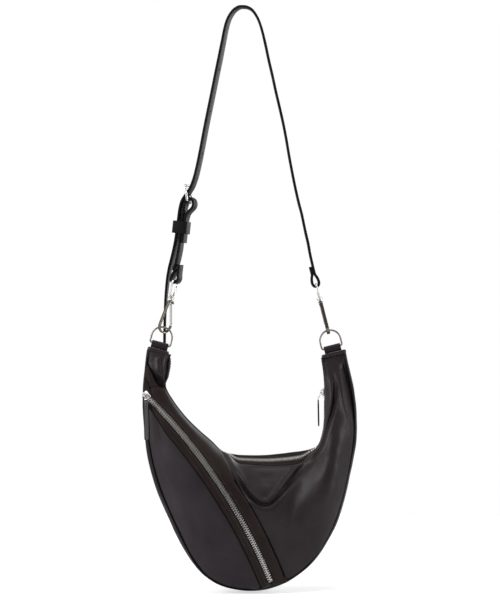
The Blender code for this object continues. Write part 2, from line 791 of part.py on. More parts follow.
# Hook's centre line: side and up in millimetres from the ring's wire
HOOK_LINE = [
    (3.3, 36.9), (3.5, 38.9), (1.8, 40.2), (-0.6, 40.2), (-2.4, 38.8), (-3.2, 35.0),
    (-4.6, 28.0), (-6.2, 19.0), (-7.6, 11.0), (-8.2, 6.6), (-7.4, 2.6), (-5.0, -0.6),
    (-1.8, -2.3), (1.8, -2.3), (5.0, -0.6), (7.6, 2.4), (8.9, 5.6), (9.3, 8.4),
]
GATE_PIVOT = (1.6, 36.2)
GATE_END = (9.2, 9.7)


def build_hook(side_name, contact, bar, up, loop_side, loop_across, turn, drop):
    """One swivel hook: eye, post, hook body and gate."""
    loop_frame = Placing(contact, loop_side, up)
    turned = (loop_side * math.cos(turn) + loop_across * math.sin(turn)).normalized()
    frame = Placing(contact - up * drop, turned, up)
    length = (bar - contact).dot(up) + drop

    hook_points = smooth_through(frame.points(HOOK_LINE), 2)
    count = len(hook_points)
    widths = []
    for index in range(count):
        share = index / (count - 1)
        widths.append(HOOK_WIDTH_TOP + (HOOK_WIDTH_TIP - HOOK_WIDTH_TOP) * share)
    across = [frame.depth] * count
    hook = make_ribbon(
        side_name + "_hook", hook_points, across, widths, HOOK_THICKNESS, POLISHED
    )
    put_origin(hook, frame.origin)

    pivot = frame.point(GATE_PIVOT[0] * MM, GATE_PIVOT[1] * MM)
    end = frame.point(GATE_END[0] * MM, GATE_END[1] * MM)
    along = (pivot - end).normalized()
    reach = (pivot - end).length
    gate_points = []
    for wide, tall in rounded_loop(GATE_WIDTH / 2, -reach, 0.0, GATE_CORNER, 3):
        gate_points.append(pivot + along * tall + frame.depth * wide)
    gate = make_wire(side_name + "_hook_gate", gate_points, GATE_WIRE, POLISHED, closed=True)
    put_origin(gate, pivot)

    washer_low = HOOK_ROOF + SWIVEL_COLLAR_HEIGHT
    washer_high = washer_low + EYE_WASHER_THICKNESS
    post_profile = [
        (0.0, HOOK_ROOF + TOUCH_GAP),
        (SWIVEL_COLLAR / 2, HOOK_ROOF + TOUCH_GAP),
        (SWIVEL_COLLAR / 2, washer_low - TOUCH_GAP),
        (SWIVEL_SHAFT / 2, washer_low - TOUCH_GAP),
        (SWIVEL_SHAFT / 2, washer_high + TOUCH_GAP),
        (SWIVEL_HEAD / 2, washer_high + TOUCH_GAP),
        (SWIVEL_HEAD / 2, washer_high + SWIVEL_HEAD_RIM),
        (0.0, washer_high + SWIVEL_HEAD_HEIGHT),
    ]
    make_turned(side_name + "_swivel_post", frame, post_profile, POLISHED)

    bore = SWIVEL_SHAFT / 2 + SWIVEL_PLAY
    washer_profile = [
        (bore, washer_low),
        (EYE_WASHER / 2, washer_low),
        (EYE_WASHER / 2, washer_high),
        (bore, washer_high),
        (bore, washer_low),
    ]
    eye = make_turned(side_name + "_hook_eye", frame, washer_profile, POLISHED)
    half = EYE_SPAN / 2
    neck = EYE_WASHER / 2 - 0.0010
    middle_low = (washer_low + washer_high) / 2
    wire_pairs = [
        (neck, middle_low),
        (neck + 0.0018, middle_low + 0.0012),
        (half * 0.74, middle_low + 0.0056),
        (half, length - 0.0066),
        (half + 0.0001, length - 0.0018),
        (half - 0.0008, length - 0.0004),
        (half - 0.0022, length),
    ]
    points = [loop_frame.origin - up * drop + up * tall + loop_across * wide
              for wide, tall in wire_pairs]
    mirrored = [loop_frame.origin - up * drop + up * tall - loop_across * wide
                for wide, tall in wire_pairs]
    wire = make_wire(
        side_name + "_eye_wire", points + mirrored[::-1], EYE_WIRE, None, collection=CUTTERS
    )
    wire = to_mesh_object(wire)
    add_boolean(eye, as_cutter(wire), "UNION")


def make_turned(name, frame, profile, material, steps=20):
    """A turned piece about a frame's up direction, from radius and height pairs."""
    verts = [(radius, 0.0, height) for radius, height in profile]
    edges = [(index, index + 1) for index in range(len(profile) - 1)]
    mesh = bpy.data.meshes.new(name)
    mesh.from_pydata(verts, edges, [])
    item = add_object(name, mesh, material)
    modifier = item.modifiers.new("turning", "SCREW")
    modifier.steps = steps
    modifier.render_steps = steps
    modifier.use_merge_vertices = True
    modifier.merge_threshold = 0.00001
    modifier.use_normal_calculate = True
    modifier.use_normal_flip = True
    turn = Matrix((frame.side, frame.depth * -1.0, frame.up)).transposed()
    item.matrix_world = Matrix.Translation(frame.origin) @ turn.to_4x4()
    return item


def build_ring(side_name, bar, tilt):
    """One D-ring in the bag's plane, its straight bar in the tab."""
    end_line = Vector((math.cos(tilt), 0.0, -math.sin(tilt)))
    rise = Vector((math.sin(tilt), 0.0, math.cos(tilt)))
    frame = Placing(bar, end_line, rise)
    pairs = []
    for middle, start in ((RING_CORNER - RING_RADIUS, 180.0), (RING_RADIUS - RING_CORNER, 270.0)):
        for step in range(4):
            angle = math.radians(start + 30.0 * step)
            side = middle + RING_CORNER * math.cos(angle)
            pairs.append((side, RING_CORNER + RING_CORNER * math.sin(angle)))
    for step in range(17):
        angle = math.radians(180.0 * step / 16)
        pairs.append((RING_RADIUS * math.cos(angle), RING_SIDE + RING_RADIUS * math.sin(angle)))
    points = [frame.point(side, up) for side, up in pairs]
    item = make_wire(side_name + "_d_ring", points, RING_WIRE, POLISHED, closed=True)
    put_origin(item, bar)
    return end_line, rise


def build_limb_end(side_name, bar, tilt, end_width):
    """The tab round the ring's bar, and the hem under it."""
    end_line, rise = build_ring(side_name, bar, tilt)
    reach = RING_WIRE / 2 + TOUCH_GAP + TAB_THICKNESS / 2
    back = Vector((0.0, 1.0, 0.0))
    pairs = [(-reach, -TAB_RISE)]
    pairs.append((-reach, -TAB_RISE / 2))
    for step in range(9):
        angle = math.radians(180.0 - 22.5 * step)
        pairs.append((reach * math.cos(angle), reach * math.sin(angle)))
    pairs.append((reach, -TAB_RISE / 2))
    pairs.append((reach, -TAB_RISE))
    centre = [bar + back * deep + rise * tall for deep, tall in pairs]
    across = [end_line] * len(centre)
    widths = [TAB_WIDTH] * len(centre)
    make_ribbon(side_name + "_tab", centre, across, widths, TAB_THICKNESS, BAG_LEATHER)
    hem_middle = bar - rise * (TAB_RISE + TOUCH_GAP + HEM_HEIGHT / 2)
    make_block(
        side_name + "_hem",
        hem_middle,
        (end_line, back, rise),
        (end_width, HEM_DEPTH, HEM_HEIGHT),
        BAG_LEATHER,
        bevel=0.0016,
    )


def circle_through(first, second, third):
    """The centre, radius and axis of the circle through three points."""
    a = second - first
    b = third - first
    normal = a.cross(b)
    to_centre = (b.cross(normal) * -a.length_squared + a.cross(normal) * b.length_squared)
    centre = first - to_centre / (2.0 * normal.length_squared)
    return centre, (first - centre).length, normal.normalized()


class ZipTrack:
    """The slanting zip's track: a cone's band, so that the slider turns about one axis."""

    def __init__(self):
        top = Vector(ZIP_TOP) * MM
        middle = Vector(ZIP_MIDDLE) * MM
        end = Vector(ZIP_END) * MM
        self.centre, self.radius, axis = circle_through(top, middle, end)
        if axis.dot(Vector((1.0, 0.0, 0.0))) < 0.0:
            axis = -axis
        self.axis = axis
        self.start = (top - self.centre).normalized()
        self.swing = self.start.angle((end - self.centre).normalized())
        turned = Matrix.Rotation(self.swing, 3, axis) @ self.start
        if (turned - (end - self.centre).normalized()).length > 0.01:
            self.swing = -self.swing

    def place(self, share):
        """The track's frame at a share of its length: outward, sideways and along."""
        radial = Matrix.Rotation(self.swing * share, 3, self.axis) @ self.start
        sideways = self.axis * math.cos(ZIP_TURN) + radial * math.sin(ZIP_TURN)
        outward = radial * math.cos(ZIP_TURN) - self.axis * math.sin(ZIP_TURN)
        along = self.axis.cross(radial)
        if self.swing < 0.0:
            along = -along
        return radial, sideways, outward, along

    def point(self, share, offset, lift):
        """A point beside and above the row of teeth."""
        radial, sideways, outward, along = self.place(share)
        return self.centre + radial * self.radius + sideways * offset + outward * lift


TRACK = ZipTrack()


def shares_between(start, end, count):
    """Evenly spaced shares."""
    return [start + (end - start) * index / (count - 1) for index in range(count)]


def track_outward(shares, rows_before):
    """The outward direction for each row of a patch that lies along the track."""
    last = len(shares) - 1
    return lambda row: TRACK.place(shares[min(max(row - rows_before, 0), last)])[2]


def track_strip(name, start, end, count, offsets, lift, thickness, material):
    """A strip laid along the slanting zip's track between two sideways offsets."""
    shares = shares_between(start, end, count)
    edge_a = [TRACK.point(share, offsets[0](share), lift) for share in shares]
    edge_b = [TRACK.point(share, offsets[1](share), lift) for share in shares]
    outward = track_outward(shares, 0)
    return make_patch(name, edge_a, edge_b, 1, no_swell, outward, thickness, material)


def no_swell(row, t):
    """A flat panel."""
    return 0.0


def fixed(value):
    """A number that is the same at each share."""
    return lambda share: value


def lower_width(share):
    """How far the lower facing reaches from the teeth: it widens over its first fifth."""
    grown = min(max(share / 0.20, 0.0), 1.0)
    return -(LOWER_FACING_TOP + (LOWER_FACING - LOWER_FACING_TOP) * grown)


def upper_width(share):
    """How far the upper facing reaches from the teeth: least just below the slider."""
    grown = min(max((share - 0.02) / 0.10, 0.0), 1.0)
    middle = UPPER_FACING_TOP + (UPPER_FACING_MIDDLE - UPPER_FACING_TOP) * grown
    grown = min(max((share - 0.34) / 0.24, 0.0), 1.0)
    return middle + (UPPER_FACING - UPPER_FACING_MIDDLE) * grown


def outward_at(points, row):
    """The direction out of the outline at a row, in the bag's plane."""
    last = len(points) - 1
    tangent = points[min(row + 1, last)] - points[max(row - 1, 0)]
    return Vector((tangent.z, 0.0, -tangent.x)).normalized()


def seam_curve():
    """The side strip's seams in the bag's plane: the outline drawn in by the strip's crown."""
    outline = smooth_through([flat_point(pair) for pair in OUTER_EDGE], 4)
    return [point - outward_at(outline, row) * SIDE_CROWN for row, point in enumerate(outline)]


EDGE_CURVE = seam_curve()


def side_half(point):
    """Half of the side strip's width at a place on the outline: widest at the bottom."""
    share = min(max((LIMB_TOP - point.z) / BAG_HEIGHT, 0.0), 1.0)
    eased = share * share * (3.0 - 2.0 * share)
    return SIDE_HALF_END + (SIDE_HALF_MIDDLE - SIDE_HALF_END) * eased


def edge_point(pair, front):
    """A point of the front's or back's seam with the side strip."""
    wanted = flat_point(pair)
    near = min(EDGE_CURVE, key=lambda point: (point - wanted).length)
    half = side_half(near) + SEAM_STEP
    return Vector((near.x, -half if front else half, near.z))


def build_facings_and_zip():
    """Slanting zip with its facings, slider and pull."""
    inner = TEETH_WIDTH / 2 + FACING_GAP
    shares = shares_between(0.0, TRACK_END, 28)
    edge_a = [TRACK.point(share, lower_width(share), 0.0) for share in shares]
    edge_b = [TRACK.point(share, -inner, 0.0) for share in shares]
    edge_a.append(edge_point(LOWER_FACING_END[0], True))
    edge_b.append(edge_point(LOWER_FACING_END[1], True))
    make_patch(
        "lower_facing", edge_a, edge_b, 1, no_swell, track_outward(shares, 0),
        LEATHER, FACING_LEATHER,
    )
    shares = shares_between(FLAP_START, TRACK_END, 28)
    far_shares = [share + UPPER_FACING_LEAD * (1.0 - share) for share in shares]
    near = [Vector(place) * MM for place in FLAP_NEAR]
    far = [Vector(place) * MM for place in FLAP_FAR]
    edge_a = smooth_through(near + [TRACK.point(shares[0], inner, 0.0)], 2)[:-1]
    first = far_shares[0]
    edge_b = smooth_through(far + [TRACK.point(first, upper_width(first), 0.0)], 2)[:-1]
    flap_rows = len(edge_a)
    edge_a += [TRACK.point(share, inner, 0.0) for share in shares]
    edge_b += [TRACK.point(share, upper_width(share), 0.0) for share in far_shares]
    edge_a.append(edge_point(UPPER_FACING_END[0], True))
    edge_b.append(edge_point(UPPER_FACING_END[1], True))
    make_patch(
        "upper_facing", edge_a, edge_b, 2, no_swell, track_outward(shares, flap_rows),
        LEATHER, FACING_LEATHER,
    )
    tape_lift = -LEATHER - TOUCH_GAP
    track_strip(
        "front_tape_lower", TAPE_START, TRACK_END, 20, (tape_edge, fixed(-TAPE_SPLIT)),
        tape_lift, CLOTH, TAPE_CLOTH,
    )
    track_strip(
        "front_tape_upper", TAPE_START, TRACK_END, 20, (fixed(TAPE_SPLIT), fixed(TAPE_HALF)),
        tape_lift, CLOTH, TAPE_CLOTH,
    )
    track_strip(
        "front_zip_teeth", TEETH_START, TEETH_END, 36,
        (fixed(-TEETH_WIDTH / 2), fixed(TEETH_WIDTH / 2)), TEETH_RISE, TEETH_THICKNESS, TEETH_METAL,
    )
    track_strip(
        "front_zip_stop", STOP_START, STOP_END, 2, (fixed(-STOP_WIDTH / 2), fixed(STOP_WIDTH / 2)),
        TEETH_RISE, TEETH_THICKNESS, TEETH_METAL,
    )


def tape_edge(share):
    """The lower tape's outer edge, which stays under its facing."""
    return max(lower_width(share) + 0.0010, -TAPE_HALF)


def build_slider(name, middle, along, sideways, outward, link_hang, hang, pull_length):
    """A slider over the teeth, its link and its leather pull."""
    top = TEETH_RISE + TOUCH_GAP + SLIDER_PLATE
    low = TOUCH_GAP
    body = make_block(
        name,
        middle + outward * (top + low) / 2,
        (along, sideways, outward),
        (SLIDER_LENGTH, SLIDER_WIDTH, top - low),
        POLISHED,
        bevel=0.0006,
    )
    channel = make_block(
        name + "_channel",
        middle + outward * (TEETH_RISE + TOUCH_GAP - 0.002),
        (along, sideways, outward),
        (SLIDER_LENGTH * 2, TEETH_WIDTH + CHANNEL_PLAY, 0.004),
        None,
    )
    add_boolean(body, as_cutter(channel), "DIFFERENCE")
    arch = []
    for step in range(9):
        angle = math.pi * step / 8
        reach = SLIDER_LENGTH * BRIDGE_SPAN / 2 * math.cos(angle)
        lift = top - BRIDGE_ROOT + BRIDGE_RISE * math.sin(angle)
        arch.append(middle + along * reach + outward * lift)
    bridge = make_wire(name + "_bridge", arch, BRIDGE_WIRE, None, collection=CUTTERS)
    bridge = to_mesh_object(bridge)
    add_boolean(body, as_cutter(bridge), "UNION")
    put_origin(body, middle)

    axle = (sideways - link_hang * sideways.dot(link_hang)).normalized()
    arch_top = top - BRIDGE_ROOT + BRIDGE_RISE
    seat_lift = arch_top - BRIDGE_WIRE / 2 - TOUCH_GAP - LINK_WIRE / 2
    seat = middle + outward * seat_lift
    link_points = []
    for wide, tall in rounded_loop(LINK_WIDTH / 2, -LINK_LENGTH, 0.0, LINK_CORNER, 4):
        link_points.append(seat - link_hang * tall + axle * wide)
    link = make_wire(name + "_link", link_points, LINK_WIRE, POLISHED, closed=True)
    put_origin(link, seat)

    axle = (axle - hang * axle.dot(hang)).normalized()
    pull_top = seat + link_hang * LINK_LENGTH + hang * (LINK_WIRE / 2 + PULL_GAP)
    steps = 6
    centre = [pull_top + hang * pull_length * index / steps for index in range(steps + 1)]
    across = [axle] * len(centre)
    widths = [PULL_WIDTH * 0.8] + [PULL_WIDTH] * (steps - 1) + [PULL_WIDTH * 0.8]
    pull = make_ribbon(name + "_pull", centre, across, widths, PULL_THICKNESS, STRAP_LEATHER)
    put_origin(pull, seat)
    return seat


def build_front_slider():
    """The slanting zip's slider, parked at its closed upper end."""
    radial, sideways, outward, along = TRACK.place(FRONT_SLIDER_SHARE)
    middle = TRACK.point(FRONT_SLIDER_SHARE, 0.0, 0.0)
    link_hang = Vector(FRONT_LINK_HANG).normalized()
    hang = Vector(FRONT_PULL_HANG).normalized()
    return build_slider(
        "front_slider", middle, along, sideways, outward, link_hang, hang, FRONT_PULL_LENGTH
    )


def mouth_half(index, count):
    """Half of the mouth's width at a station: widest in the middle."""
    share = math.sin(math.pi * index / (count - 1))
    return MOUTH_HALF_END + (MOUTH_HALF_MIDDLE - MOUTH_HALF_END) * share


def station_curves():
    """The front's inner and outer edges, the mouth's two edges and the back's edges."""
    count = len(FRONT_STATIONS)
    inner = []
    outer = []
    mouth_front = []
    mouth_back = []
    back_inner = []
    for index, (pair, kind, target) in enumerate(FRONT_STATIONS):
        half = mouth_half(index, count)
        point = flat_point(pair)
        inner.append(point + Vector((0.0, -half - SEAM_STEP, 0.0)))
        mouth_front.append(point + Vector((0.0, -half, 0.0)))
        rim = flat_point(BACK_RIM[index])
        mouth_back.append(rim + Vector((0.0, half, 0.0)))
        back_inner.append(rim + Vector((0.0, half + SEAM_STEP, 0.0)))
        if kind == "edge":
            outer.append(edge_point(target, True))
        elif kind == "flap":
            corner = Vector(FLAP_FAR[target]) * MM
            outer.append(corner + Vector((SEAM_STEP / 3, SEAM_STEP, 0.0)))
        else:
            outer.append(TRACK.point(target, upper_width(target) + PANEL_GAP, -SEAM_STEP))
    return inner, outer, mouth_front, mouth_back, back_inner


FRONT_OUT = Vector((0.0, -1.0, 0.0))
BACK_OUT = Vector((0.0, 1.0, 0.0))


def swell_from(values, steps, shape):
    """A swell that varies along the panel and follows a shape across it."""
    heights = smooth_numbers(values, steps)

    def swell(row, t):
        return heights[row] * MM * shape(t)

    return swell


def front_shape(t):
    """The front's swell across: fullest just past the middle."""
    return math.sin(math.pi * t ** 0.9)


def back_shape(t):
    """The back's swell across: fullest towards the bottom."""
    return math.sin(math.pi * t ** 1.15)


def build_panels():
    """Front panels, back panel, side strip, mouth facings, mouth zip and linings."""
    inner, outer, mouth_front, mouth_back, back_inner = station_curves()
    front_a = smooth_through(inner, STEPS)
    front_b = smooth_through(outer, STEPS)
    swell = swell_from(FRONT_SWELL, STEPS, front_shape)
    make_patch(
        "front_panel_upper", front_a, front_b, 8, swell, lambda row: FRONT_OUT,
        LEATHER, BAG_LEATHER,
    )
    seam = [
        TRACK.point(share, lower_width(share) - PANEL_GAP, -SEAM_STEP)
        for share, pair in LOWER_STATIONS
    ]
    edge = [edge_point(pair, True) for share, pair in LOWER_STATIONS]
    make_patch(
        "front_panel_lower", smooth_through(seam, STEPS), smooth_through(edge, STEPS), 5,
        swell_from(LOWER_SWELL, STEPS, lambda t: math.sin(math.pi * t)),
        lambda row: FRONT_OUT, LEATHER, BAG_LEATHER,
    )
    back_a = smooth_through(back_inner, STEPS)
    back_b = back_outer_curve(len(back_a))
    make_patch(
        "back_panel", back_a, back_b, 8, swell_from(BACK_SWELL, STEPS, back_shape),
        lambda row: BACK_OUT, LEATHER, BAG_LEATHER,
    )
    build_side_strip()
    build_mouth(mouth_front, mouth_back)
    build_linings()


def back_outer_curve(count):
    """The back's outer edge, resampled to the number of rows that its inner edge has."""
    curve = resampled(EDGE_CURVE, count)
    result = []
    for point in curve:
        half = side_half(point) + SEAM_STEP
        result.append(Vector((point.x, half, point.z)))
    return result


def resampled(points, count):
    """Points spaced evenly along a line."""
    lengths = [0.0]
    for start, end in zip(points, points[1:]):
        lengths.append(lengths[-1] + (end - start).length)
    result = []
    cursor = 0
    for index in range(count):
        wanted = lengths[-1] * index / (count - 1)
        while cursor < len(points) - 2 and lengths[cursor + 1] < wanted:
            cursor += 1
        span = lengths[cursor + 1] - lengths[cursor]
        share = (wanted - lengths[cursor]) / span
        result.append(points[cursor].lerp(points[cursor + 1], share))
    return result


def build_side_strip():
    """The strip that joins front and back round the outer edge."""
    curve = resampled(EDGE_CURVE, 52)
    front = []
    back = []
    outs = []
    for row, point in enumerate(curve):
        outs.append(outward_at(curve, row))
        half = side_half(point)
        front.append(Vector((point.x, -half, point.z)))
        back.append(Vector((point.x, half, point.z)))
    make_patch(
        "side_strip", front, back, 4, lambda row, t: SIDE_CROWN * math.sin(math.pi * t),
        lambda row: outs[row], LEATHER, BAG_LEATHER,
    )


def build_mouth(mouth_front, mouth_back):
    """The mouth: two facings, two tapes and the row of teeth between them."""
    front = smooth_through(mouth_front, STEPS)
    back = smooth_through(mouth_back, STEPS)
    count = len(front)
    crosses = [(b - a).normalized() for a, b in zip(front, back)]
    middles = [(a + b) / 2 for a, b in zip(front, back)]
    outs = []
    for row in range(count):
        tangent = middles[min(row + 1, count - 1)] - middles[max(row - 1, 0)]
        out = tangent.cross(crosses[row]).normalized()
        if out.dot(Vector((0.02, 0.0, -0.40)) - middles[row]) < 0.0:
            out = -out
        outs.append(out)

    def out_of(row):
        return outs[row]

    def line(offset, lift, rows):
        return [middles[r] + crosses[r] * offset + outs[r] * lift for r in rows]

    rows = list(range(count))
    inner = TEETH_WIDTH / 2 + FACING_GAP
    front_edge = [front[r] + crosses[r] * TOUCH_GAP for r in rows]
    back_edge = [back[r] - crosses[r] * TOUCH_GAP for r in rows]
    make_patch(
        "mouth_facing_front", front_edge, line(-inner, 0.0, rows), 1, no_swell, out_of,
        LEATHER, FACING_LEATHER,
    )
    make_patch(
        "mouth_facing_back", line(inner, 0.0, rows), back_edge, 1, no_swell, out_of,
        LEATHER, FACING_LEATHER,
    )
    kept = rows[2:-3]
    tape_lift = -LEATHER - TOUCH_GAP
    tape_half = MOUTH_HALF_END - 0.0015

    def kept_out(row):
        return outs[kept[row]]

    make_patch(
        "mouth_tape_front", line(-tape_half, tape_lift, kept), line(-TAPE_SPLIT, tape_lift, kept),
        1, no_swell, kept_out, CLOTH, TAPE_CLOTH,
    )
    make_patch(
        "mouth_tape_back", line(TAPE_SPLIT, tape_lift, kept), line(tape_half, tape_lift, kept),
        1, no_swell, kept_out, CLOTH, TAPE_CLOTH,
    )
    half = TEETH_WIDTH / 2
    row = min(rows[count // 2:], key=lambda r: abs(middles[r].z - MOUTH_SLIDER_HEIGHT))
    closed = rows[2:row + 2]
    make_patch(
        "mouth_zip_teeth", line(-half, TEETH_RISE, closed), line(half, TEETH_RISE, closed),
        1, no_swell, kept_out, TEETH_THICKNESS, TEETH_METAL,
    )
    along = (middles[row + 1] - middles[row - 1]).normalized() * -1.0
    link_hang = Vector(MOUTH_LINK_HANG).normalized()
    hang = Vector(MOUTH_PULL_HANG).normalized()
    build_slider(
        "mouth_slider", middles[row], along, crosses[row], outs[row], link_hang, hang,
        TOP_PULL_LENGTH,
    )


def build_linings():
    """Cloth linings inside the front and the back, and the slanting pocket's own lining."""
    count = 22
    inner, outer, mouth_front, mouth_back, back_inner = station_curves()
    front_top = resampled(smooth_through(mouth_front[3:-3], 2), count)
    back_top = resampled(smooth_through(mouth_back[3:-3], 2), count)
    last = len(EDGE_CURVE) - 1
    edge = resampled(EDGE_CURVE[LINING_SKIP:last - LINING_SKIP], count)
    front_line = []
    back_line = []
    front_edge = []
    back_edge = []
    for row, point in enumerate(edge):
        inward = point - (front_top[row] + back_top[row]) / 2
        inward.y = 0.0
        inward.normalize()
        cross = (back_top[row] - front_top[row]).normalized()
        front_line.append(front_top[row] + cross * LINING_INSET * 0.6 + inward * LINING_INSET)
        back_line.append(back_top[row] - cross * LINING_INSET * 0.6 + inward * LINING_INSET)
        half = side_half(point) - LINING_INSET * 0.6
        moved = point - inward * LINING_INSET
        front_edge.append(Vector((moved.x, -half, moved.z)))
        back_edge.append(Vector((moved.x, half, moved.z)))

    def swell(height):
        def bulge(row, t):
            share = row / (count - 1)
            return height * math.sin(math.pi * share) ** 1.5 * math.sin(math.pi * t)
        return bulge

    make_patch(
        "lining_front", front_line, front_edge, 5, swell(LINING_FRONT_SWELL),
        lambda row: FRONT_OUT, CLOTH, LINING_CLOTH,
    )
    make_patch(
        "lining_back", back_line, back_edge, 5, swell(LINING_BACK_SWELL),
        lambda row: BACK_OUT, CLOTH, LINING_CLOTH,
    )
    track_strip(
        "pocket_lining", POCKET_START, POCKET_END, 20,
        (fixed(-POCKET_LOWER), fixed(POCKET_UPPER)), -POCKET_DEPTH, CLOTH, LINING_CLOTH,
    )


def report_axes():
    """Prints the joints' places and directions, in metres."""
    print("track centre", tuple(round(v, 6) for v in TRACK.centre))
    print("track axis", tuple(round(v, 6) for v in TRACK.axis), "radius", round(TRACK.radius, 6))
    print("track swing degrees", round(math.degrees(TRACK.swing), 4))


def build():
    """Builds the whole bag."""
    build_straps()
    build_hook(
        "left", left_contact, left_bar, left_up, left_side, LEFT_ACROSS,
        HOOK_TURN_LEFT, RING_DROP_LEFT,
    )
    build_hook(
        "right", right_contact, right_bar, right_up, right_side, STRAIGHT_ACROSS,
        HOOK_TURN_RIGHT, RING_DROP_RIGHT,
    )
    apex = RING_SIDE + RING_RADIUS
    left_ring = Vector((math.sin(LIMB_TILT), 0.0, math.cos(LIMB_TILT))) * apex
    right_ring = Vector((math.sin(-LIMB_TILT), 0.0, math.cos(LIMB_TILT))) * apex
    build_limb_end("left", left_contact - left_ring, LIMB_TILT, LEFT_HEM_WIDTH)
    build_limb_end("right", right_contact - right_ring, -LIMB_TILT, RIGHT_HEM_WIDTH)
    build_facings_and_zip()
    build_front_slider()
    build_panels()
    report_axes()


build()
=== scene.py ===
"""Crossbody bag: soft black leather, slanting zip, zipped mouth, swivel hooks and buckled strap.

Metres in the row frame: +Z up, -Y out of the front. Curves are given as X and Z in millimetres.
"""

import math

import bmesh
import bpy
from mathutils import Matrix, Vector, noise


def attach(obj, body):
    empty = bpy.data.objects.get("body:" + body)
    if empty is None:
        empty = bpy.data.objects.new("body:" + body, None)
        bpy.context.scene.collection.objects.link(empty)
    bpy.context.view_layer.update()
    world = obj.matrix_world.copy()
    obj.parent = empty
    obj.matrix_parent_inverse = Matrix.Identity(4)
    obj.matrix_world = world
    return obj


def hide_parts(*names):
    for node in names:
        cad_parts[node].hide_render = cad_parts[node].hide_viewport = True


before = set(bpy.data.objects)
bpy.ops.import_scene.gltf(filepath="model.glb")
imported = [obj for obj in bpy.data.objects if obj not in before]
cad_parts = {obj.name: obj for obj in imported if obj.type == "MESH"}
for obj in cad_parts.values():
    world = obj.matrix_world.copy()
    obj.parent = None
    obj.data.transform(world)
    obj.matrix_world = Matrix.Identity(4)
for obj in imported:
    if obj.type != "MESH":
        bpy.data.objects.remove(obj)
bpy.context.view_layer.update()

MM = 0.001
UP = Vector((0.0, 0.0, 1.0))
FRONT = Vector((0.0, -1.0, 0.0))
BACK = Vector((0.0, 1.0, 0.0))

# Strap
STRAP_WIDTH = 0.020
STRAP_THICKNESS = 0.0033
STRAP_TWIST = math.radians(14.0)
STRAP_CORNER = 0.0013
LAYER_GAP = 0.0004
# Where a loop's two layers meet, above the bar
LOOP_CLOSE = 0.0135
HOLE_DIAMETER = 0.0036
HOLE_PITCH = 0.0575

# Threads
STITCH_PITCH = 0.0034
STITCH_LENGTH = 0.0024
THREAD_WIDTH = 0.0007
FINE_THREAD = 0.0006
STITCH_INSET = 0.0026
STITCH_LIFT = 0.00005

# Keeper and ring tabs
BAND_THICKNESS = 0.0020
BAND_CORNER = 0.0008
KEEPER_WIDTH = 0.0165
KEEPER_ROOM = 0.0008
TAB_WIDTH = 0.0225

# Metal fittings
GAP = 0.0003
LOOP_CORNER = 0.0034
BUCKLE_WIRE = 0.0030
BUCKLE_LENGTH = 0.0210
BUCKLE_ROOM = 0.0010
BUCKLE_TILT = math.radians(-8.5)
PRONG_WIRE = 0.0022
PRONG_PLAY = 0.0012
EYE_WIRE = 0.0024
EYE_SPAN = 0.0256
EYE_WASHER = 0.0078
EYE_WASHER_THICKNESS = 0.0029
RING_WIRE = 0.0024
RING_RADIUS = 0.0138
RING_SIDE = 0.0095
RING_CORNER = 0.0026
HOOK_TURN_LEFT = math.radians(50.0)
HOOK_TURN_RIGHT = math.radians(90.0)
RING_DROP_LEFT = 0.0044
RING_DROP_RIGHT = 0.0014
HOOK_ROOF = 0.0414
HOOK_WIDTH = 0.0056
HOOK_TAPER = 0.0016
HOOK_THICKNESS = 0.0024
GATE_WIRE = 0.0011

# Bag; STEPS is the number of rows from one of its stations to the next
STEPS = 12
LIMB_TILT = math.radians(14.5)
LIMB_TOP = -0.450
BAG_HEIGHT = 0.320
LEATHER = 0.0013
CLOTH = 0.0006
SIDE_HALF_END = 0.0080
SIDE_HALF_MIDDLE = 0.0180
SIDE_CROWN = 0.0038
SIDE_CROWN_LEFT = 0.0064
MOUTH_HALF_END = 0.0075
MOUTH_HALF_MIDDLE = 0.0095
SEAM_STEP = 0.0008
TAB_RISE = 0.0062
HEM_HEIGHT = 0.0050
HEM_DEPTH = 0.0200

# Zips
ZIP_TURN = math.radians(18.0)
TOOTH_PITCH = 0.0032
TOOTH_HEIGHT = 0.0022
TAPE_HALF = 0.0125
MOUTH_TAPE = 0.0060
TAPE_DEPTH = 0.0016
FACING_EDGE = 0.0039
LOWER_FACING = 0.0155
LOWER_FACING_TOP = 0.0052
UPPER_FACING = 0.0200
UPPER_FACING_MIDDLE = 0.0165
UPPER_FACING_TOP = 0.0185
UPPER_FACING_LEAD = 0.04
SLIDER_LENGTH = 0.0115
SLIDER_LOW = 0.0012
SLIDER_TOP = 0.0025
BAIL_FOOT = SLIDER_TOP - 0.0005
BAIL_RISE = 0.0034
BAIL_THICKNESS = 0.0012
LINK_WIRE = 0.0012
LINK_LENGTH = 0.0095
PULL_WIDTH = 0.0066
PULL_THICKNESS = 0.0018
FRONT_SLIDER_SHARE = 0.012
MOUTH_SLIDER_HEIGHT = -0.5110

LEFT_CONTACT = (-105.2, -424.0)
RIGHT_CONTACT = (112.0, -428.1)
LEFT_EYE_BAR = (-90.2, -361.4)
RIGHT_EYE_BAR = (96.2, -366.6)
HEEL_BAR = (-71.3, -256.7)
KEEPER_PLACE = -291.4

